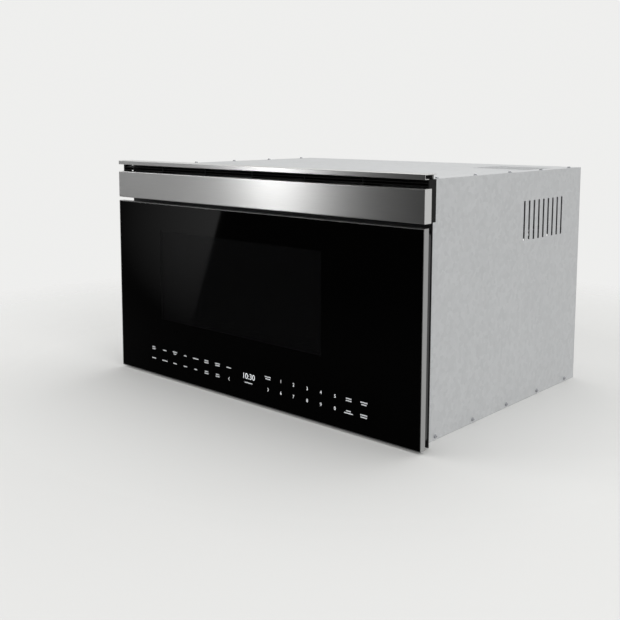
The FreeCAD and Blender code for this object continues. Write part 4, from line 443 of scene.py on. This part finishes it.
def spread(tree, name, body, mesh, spots, finish, size=1.0):
    """Copies of a small shape at (place, facing) spots in metres, as one plain mesh that rides on a body."""
    shape = bpy.data.objects.new(name + "_shape", mesh)
    points = bpy.data.meshes.new(name + "_points")
    points.from_pydata([place for place, facing in spots], [], [])
    turns_and_groove_shade = points.attributes.new("turn", "FLOAT_VECTOR", "POINT")
    for turn, (place, facing) in zip(turns_and_groove_shade.data, spots):
        turn.vector = Vector(facing).to_track_quat("Z", "Y").to_euler()
    holder = bpy.data.objects.new(name + "_holder", points)
    bpy.context.collection.objects.link(holder)
    modifier = holder.modifiers.new("spread", "NODES")
    modifier.node_group = tree
    given = {"Shape": shape, "Finish": finish, "Size": size}
    for item in tree.interface.items_tree:
        if item.in_out == "INPUT" and item.name in given:
            modifier[item.identifier] = given[item.name]
    evaluated = holder.evaluated_get(bpy.context.evaluated_depsgraph_get())
    result = bpy.data.meshes.new_from_object(evaluated)
    bpy.data.objects.remove(holder)
    bpy.data.objects.remove(shape)
    carried(name, result, body)


def carried(name, mesh, body):
    """A finished mesh as an object that rides on a body."""
    mesh.name = name
    piece = bpy.data.objects.new(name, mesh)
    bpy.context.collection.objects.link(piece)
    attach(piece, body)


def evenly(low, high, count, margin):
    """Values from end to end of a range, kept in from its ends by a margin in millimetres."""
    start, end = low + margin * MM, high - margin * MM
    return [start + (end - start) * i / (count - 1) for i in range(count)]


# ---------------------------------------------------------------- fixings and board parts
UP, DOWN = (0.0, 0.0, 1.0), (0.0, 0.0, -1.0)
LEFT, RIGHT = (-1.0, 0.0, 0.0), (1.0, 0.0, 0.0)
FRONT, BACK = (0.0, -1.0, 0.0), (0.0, 1.0, 0.0)
FOLD_MIDDLE = 6.0 * MM                 # middle of the base pan's and the side panels' folded edges
SHEET = 1.0 * MM
BOARD_FACE = 11.6 * MM                 # the power board's face, off the side panel

# turned shapes, as turned() takes them
SCREW = ((4.2, 0.0, 0), (4.2, 0.7, 0), (3.2, 0.9, 6), (3.2, 2.6, 6), (2.7, 2.9, 6), (1.4, 2.9, 0),
         (1.2, 1.7, 0))
FLAT_RIVET = ((2.8, 0.0, 0), (2.6, 0.45, 0), (1.6, 0.8, 0))
SPOT_WELD = ((2.2, 0.0, 0), (1.9, 0.15, 0), (1.2, 0.05, 0))
PUSH_PIN = ((5.0, 0.0, 0), (4.8, 1.0, 0), (2.5, 1.8, 0))
SMALL_CAN = ((4.0, 0.0, 0), (4.0, 9.0, 0), (3.6, 9.6, 0), (3.2, 9.3, 0))
DISC = ((1.0, 0.0, 0), (3.4, 0.6, 0), (3.4, 2.2, 0), (2.4, 2.8, 0))


def middle(node):
    low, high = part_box(node)
    return (low + high) / 2


def corners(low, high, inset):
    """The corners of a (first, second) rectangle, kept in by an inset."""
    return [(a, b) for a in (low[0] + inset, high[0] - inset) for b in (low[1] + inset, high[1] - inset)]


def case_screws():
    """Screws of the cover, the side panels, the rear panel and the fan."""
    spots = []
    low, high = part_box("top_cover")
    for y in evenly(low.y, high.y, 5, 40.0):
        spots += [((x, y, high.z), UP) for x in (low.x + FOLD_MIDDLE, high.x - FOLD_MIDDLE)]
        spots += [((low.x, y, FOLD_MIDDLE), LEFT), ((high.x, y, FOLD_MIDDLE), RIGHT)]
    low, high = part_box("rear_panel")
    spots += [((x, high.y, FOLD_MIDDLE), BACK) for x in evenly(low.x, high.x, 6, 30.0)]
    fan_low, fan_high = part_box("fan_shroud")
    for x, z in corners(fan_low.xz, fan_high.xz, 9.0 * MM):
        spots.append(((x, high.y, z), BACK))
    return spots


def inner_screws():
    """Screws of the stirrer's motor, the fan's motor, the transformer and the gearbox."""
    low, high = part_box("stirrer_motor")
    centre = middle("stirrer_motor")
    spots = [((x, centre.y, low.z + SHEET), UP) for x in (low.x + 5.0 * MM, high.x - 5.0 * MM)]
    low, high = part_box("transformer_core")
    spots += [((x, y, low.z + 2.0 * MM), UP) for x in (low.x + 6.0 * MM, high.x - 6.0 * MM)
              for y in (low.y + 14.0 * MM, high.y - 14.0 * MM)]
    low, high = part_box("fan_motor")
    centre = middle("fan_motor")
    spots += [((centre.x, low.y, centre.z + side * 17.0 * MM), FRONT) for side in (-1, 1)]
    low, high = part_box("drive_motor")
    for y, z in corners(low.yz, high.yz, 6.0 * MM):
        spots.append(((high.x + 2.0 * MM, y, z), RIGHT))
    return spots


def cavity_welds():
    """Spot welds that hold the cavity's lip to the front plate, round the mouth."""
    low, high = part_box("cavity_shell")
    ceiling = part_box("stirrer_cover")[1].z
    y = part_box("front_plate")[0].y
    inset = 4.5 * MM
    spots = [((x, y, z), FRONT) for x in (low.x + inset, high.x - inset)
             for z in evenly(low.z, ceiling, 5, 16.0)]
    spots += [((x, y, z), FRONT) for x in evenly(low.x, high.x, 10, 24.0)
              for z in (low.z + inset, ceiling + inset)]
    return spots


def front_rivets():
    """Flat rivets round the back of the drawer front."""
    low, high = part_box("door_back_panel")
    inset = 9.0 * MM
    spots = [((x, high.y, z), BACK) for x in (low.x + inset, high.x - inset)
             for z in evenly(low.z, high.z, 5, 30.0)]
    return spots + [((x, high.y, low.z + inset), BACK) for x in evenly(low.x, high.x, 9, 40.0)]


def arm_bolts():
    """Bolts through the drawer arms into the slides, and through their front tabs."""
    rack_low, rack_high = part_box("racks")
    low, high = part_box("drawer_arms")
    z = (rack_high.z + high.z) / 2
    spots = []
    for x, facing in ((rack_low.x, RIGHT), (rack_high.x, LEFT)):
        spots += [((x, y, z), facing) for y in evenly(low.y, high.y, 4, 45.0)]
        spots.append(((x + facing[0] * 8.0 * MM, low.y + 3.0 * MM, z), BACK))
    return spots


def board_spots(rows):
    """Places on the power board's face from (along, up) pairs in millimetres off its lower front corner."""
    low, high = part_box("power_board")
    face = low.x + BOARD_FACE
    return [((face, low.y + along * MM, low.z + up * MM), RIGHT) for along, up in rows]


def fixings(tree, finishes):
    """Everything small and repeated, one mesh for each kind and body."""
    steel, zinc, black = (finishes[name] for name in ("machined_steel", "zinc_sheet", "black_moulding"))
    spread(tree, "case_screws", "chassis", turned("screw", SCREW), case_screws(), steel, 0.9)
    spread(tree, "inner_screws", "chassis", turned("screw", SCREW), inner_screws(), steel, 0.75)
    spread(tree, "cavity_welds", "chassis", turned("weld", SPOT_WELD), cavity_welds(), zinc)
    spread(tree, "front_rivets", "drawer", turned("rivet", FLAT_RIVET), front_rivets(), steel)
    spread(tree, "arm_bolts", "drawer", turned("screw", SCREW), arm_bolts(), steel, 0.85)
    low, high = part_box("stirrer_cover")
    pins = [((x, y, low.z), DOWN) for x, y in corners(low.xy, high.xy, 16.0 * MM)]
    spread(tree, "cover_pins", "chassis", turned("pin", PUSH_PIN), pins, finishes["white_moulding"])
    posts = board_spots([(8, 8), (8, 152), (192, 8), (192, 152)])
    spread(tree, "board_screws", "chassis", turned("screw", SCREW), posts, steel, 0.6)
    cans = board_spots([(150, 62), (164, 62), (178, 62), (150, 46)])
    spread(tree, "board_cans", "chassis", turned("can", SMALL_CAN), cans, finishes["motor_case"])
    discs = board_spots([(30 + 14 * i, 84) for i in range(8)])
    spread(tree, "board_discs", "chassis", turned("disc", DISC), discs, finishes["ceramic_disc"])
    resistors = board_spots([(28 + 12 * i, 98) for i in range(11)] + [(160, 100 + 9 * i) for i in range(4)])
    spread(tree, "board_resistors", "chassis", crate("resistor", 6.5, 2.4, 2.2, 0.6), resistors,
           finishes["resistor_body"])
    chips = board_spots([(84, 66), (112, 66), (178, 84)])
    spread(tree, "board_chips", "chassis", crate("chip", 18.0, 7.5, 3.4, 0.5), chips, black)
    lamp = middle("oven_lamp")
    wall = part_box("oven_lamp")[0].x - SHEET
    spread(tree, "lamp_guard", "chassis", crate("guard", 30.0, 30.0, 0.4, 0.1),
           [((wall, lamp.y, lamp.z), LEFT)], finishes["lamp_guard"])


# ---------------------------------------------------------------- signs
def sign_patch(sheet, outline, front):
    """A flat patch on the glass from (x, z) points that run anticlockwise as seen from the front."""
    sheet.faces.new([sheet.verts.new((x, front, z)) for x, z in outline])


def sign_bar(sheet, x, z, length, height, front):
    a, b = length / 2, height / 2
    sign_patch(sheet, [(x - a, z - b), (x + a, z - b), (x + a, z + b), (x - a, z + b)], front)


def sign_line(sheet, x, z, strokes, front):
    """A line of small upright strokes, centred on a place."""
    for i in range(strokes):
        sign_bar(sheet, x + (i - (strokes - 1) / 2) * STROKE_PITCH, z, STROKE_WIDTH, STROKE_HEIGHT, front)


def sign_marks(sheet, x, z, lines, front):
    """The lines of a key's mark, one above the other."""
    for i, strokes in enumerate(lines):
        sign_line(sheet, x, z + (len(lines) - 1 - 2 * i) * LINE_SPACING / 2, strokes, front)


def sign_arrow(sheet, x, z, side, front):
    """An open arrowhead that points to one side: -1 left, 1 right."""
    half, thick, tip = ARROW_HEIGHT / 2, 1.1 * MM, side * 1.5 * MM
    for end in (-half, half):
        outline = [(x - tip, z + end), (x - tip + thick, z + end), (x + tip + thick, z), (x + tip, z)]
        sign_patch(sheet, outline if end < 0 else outline[::-1], front)


def sign_digits(sheet, text, height, x, z, front):
    """Plain digits, centred on a place."""
    curve = bpy.data.curves.new("digits", "FONT")
    curve.body = text
    curve.size = height / CAP_SHARE
    curve.align_x = "CENTER"
    curve.align_y = "CENTER"
    holder = bpy.data.objects.new("digits", curve)
    mesh = bpy.data.meshes.new_from_object(holder)
    mesh.transform(Matrix.Translation((x, front, z)) @ Matrix.Rotation(math.pi / 2, 4, "X"))
    sheet.from_mesh(mesh)
    bpy.data.objects.remove(holder)
    bpy.data.meshes.remove(mesh)


def lit_signs(finish):
    """Key marks in two rows, the number keys, the clock and the line under it."""
    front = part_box("front_glass")[0].y - SIGN_PROUD
    sheet = bmesh.new()
    for columns, row, marks in (
        (LEFT_COLUMNS, UPPER_ROW, LEFT_ABOVE),
        (LEFT_COLUMNS, LOWER_ROW, LEFT_BELOW),
        (RIGHT_COLUMNS[:1], UPPER_ROW, (FIRST_RIGHT,)),
        (RIGHT_COLUMNS[6:], UPPER_ROW, RIGHT_ABOVE),
        (RIGHT_COLUMNS[6:], LOWER_ROW, RIGHT_BELOW),
    ):
        for x, lines in zip(columns, marks):
            sign_marks(sheet, x * MM, row, lines, front)
    sign_arrow(sheet, LEFT_COLUMNS[-1] * MM, LOWER_ROW, -1, front)
    sign_arrow(sheet, RIGHT_COLUMNS[0] * MM, LOWER_ROW, 1, front)
    for i, x in enumerate(RIGHT_COLUMNS[1:6]):
        sign_digits(sheet, str(i + 1), DIGIT_HEIGHT, x * MM, UPPER_ROW, front)
        sign_digits(sheet, str((i + 6) % 10), DIGIT_HEIGHT, x * MM, LOWER_ROW, front)
    sign_digits(sheet, "10:30", CLOCK_HEIGHT, 0.0, CLOCK_Z, front)
    sign_line(sheet, 0.0, CLOCK_LINE_Z, CLOCK_STROKES, front)
    mesh = as_mesh("lit_signs", sheet)
    mesh.materials.append(finish)
    carried("lit_signs", mesh, "drawer")


# ---------------------------------------------------------------- studio
def world_light():
    """Pale all round where it is seen; where it is reflected, dark in a sector on each side of the front."""
    world = bpy.data.worlds.new("studio")
    bpy.context.scene.world = world
    world.use_nodes = True
    tree = world.node_tree
    background = tree.nodes["Background"]
    path = tree.nodes.new("ShaderNodeLightPath")
    direction = tree.nodes.new("ShaderNodeSeparateXYZ")
    tree.links.new(tree.nodes.new("ShaderNodeTexCoord").outputs["Generated"], direction.inputs[0])
    x, y = Wire(tree, direction.outputs[0]), Wire(tree, direction.outputs[1])
    towards = y / (x * x + y * y + 0.0001) ** 0.5
    lit = towards.math("MAXIMUM", towards.ramp(*SIDE_LIT), towards.ramp(*AHEAD_LIT) * AHEAD_SHARE)
    glossy = lit * (REFLECTED_LIT - REFLECTED_DARK) + REFLECTED_DARK
    camera, reflected, through = (Wire(tree, path.outputs[name]) for name in (
        "Is Camera Ray", "Is Glossy Ray", "Is Transmission Ray"))
    seen = camera.math("MAXIMUM", camera, through)
    strength = seen + (1.0 - seen) * (reflected * glossy + (1.0 - reflected) * FILL)
    background.inputs["Color"].default_value = PALE
    feed(tree, background.inputs["Strength"], strength)


def softbox(name, place, target, width, height, power, roll=0.0, spread=180.0):
    """A rectangular lamp, turned about its own axis by a roll, with a cone of light, both in degrees."""
    data = bpy.data.lights.new(name, "AREA")
    data.shape = "RECTANGLE"
    data.size = width
    data.size_y = height
    data.energy = power
    data.spread = math.radians(spread)
    lamp = bpy.data.objects.new(name, data)
    lamp.location = place
    aim = (Vector(target) - Vector(place)).to_track_quat("-Z", "Y")
    lamp.rotation_euler = (aim @ Quaternion((0.0, 0.0, 1.0), math.radians(roll))).to_euler()
    bpy.context.collection.objects.link(lamp)


def softbox_towards(name, target, azimuth, elevation, distance, width, height, power):
    """A softbox seen from a point at an azimuth from -X towards -Y and at an elevation, in degrees."""
    across, up = math.radians(azimuth), math.radians(elevation)
    away = Vector((-math.cos(across) * math.cos(up), -math.sin(across) * math.cos(up), math.sin(up)))
    softbox(name, tuple(Vector(target) + away * distance), target, width, height, power)


def floor():
    """Pale floor that keeps the shadow, fades into the backdrop and is faint in reflections."""
    finish = Finish("floor", PALE[:3], 0.8, fixed={"Specular IOR Level": 0.1})
    radius = (finish.axis("X") ** 2.0 + finish.axis("Y") ** 2.0) ** 0.5
    reflected = finish.node("ShaderNodeLightPath", output="Is Glossy Ray")
    finish.set({"Alpha": (1.0 - radius.ramp(FLOOR_NEAR, FLOOR_FAR)) * (1.0 - reflected * FLOOR_UNREFLECTED)})
    shape = bmesh.new()
    bmesh.ops.create_grid(shape, x_segments=2, y_segments=2, size=FLOOR_FAR + 0.1)
    mesh = as_mesh("floor", shape)
    mesh.materials.append(finish.material)
    plate = bpy.data.objects.new("floor", mesh)
    plate.location = (0.0, 0.0, -FLOOR_DROP)
    bpy.context.collection.objects.link(plate)


def camera():
    data = bpy.data.cameras.new("camera")
    data.lens = CAMERA_LENS
    data.shift_x, data.shift_y = CAMERA_SHIFT
    data.clip_end = 100.0
    eye = bpy.data.objects.new("camera", data)
    eye.location = CAMERA_PLACE
    eye.rotation_euler = (math.pi / 2 - CAMERA_PITCH, 0.0, CAMERA_YAW)
    bpy.context.collection.objects.link(eye)
    bpy.context.scene.camera = eye


def lights():
    band = (0.04, -0.285, 0.386)
    softbox_towards("band_light", band, azimuth=46.0, elevation=12.0, distance=2.6,
                    width=0.12, height=0.8, power=7.2)
    softbox_towards("left_light", band, azimuth=24.0, elevation=25.0, distance=2.8,
                    width=0.9, height=1.4, power=8.0)
    softbox("card", (-0.826, -0.677, 0.133), (-0.321, -0.198, 0.206), width=0.36, height=0.50,
            power=0.0036, roll=-15.0, spread=15.0)
    softbox("right_light", (2.6, -1.0, 1.6), (0.3, 0.0, 0.2), width=1.6, height=1.6, power=20.0)
    softbox("top_light", (0.0, 0.5, 2.6), (0.0, 0.0, 0.4), width=2.0, height=2.0, power=22.0)


def main():
    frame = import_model()
    finishes = make_finishes()
    dress(frame, finishes)
    fixings(spread_tree(), finishes)
    lit_signs(sign_print())
    floor()
    world_light()
    lights()
    camera()
    bpy.context.scene.view_settings.view_transform = "Standard"


main()
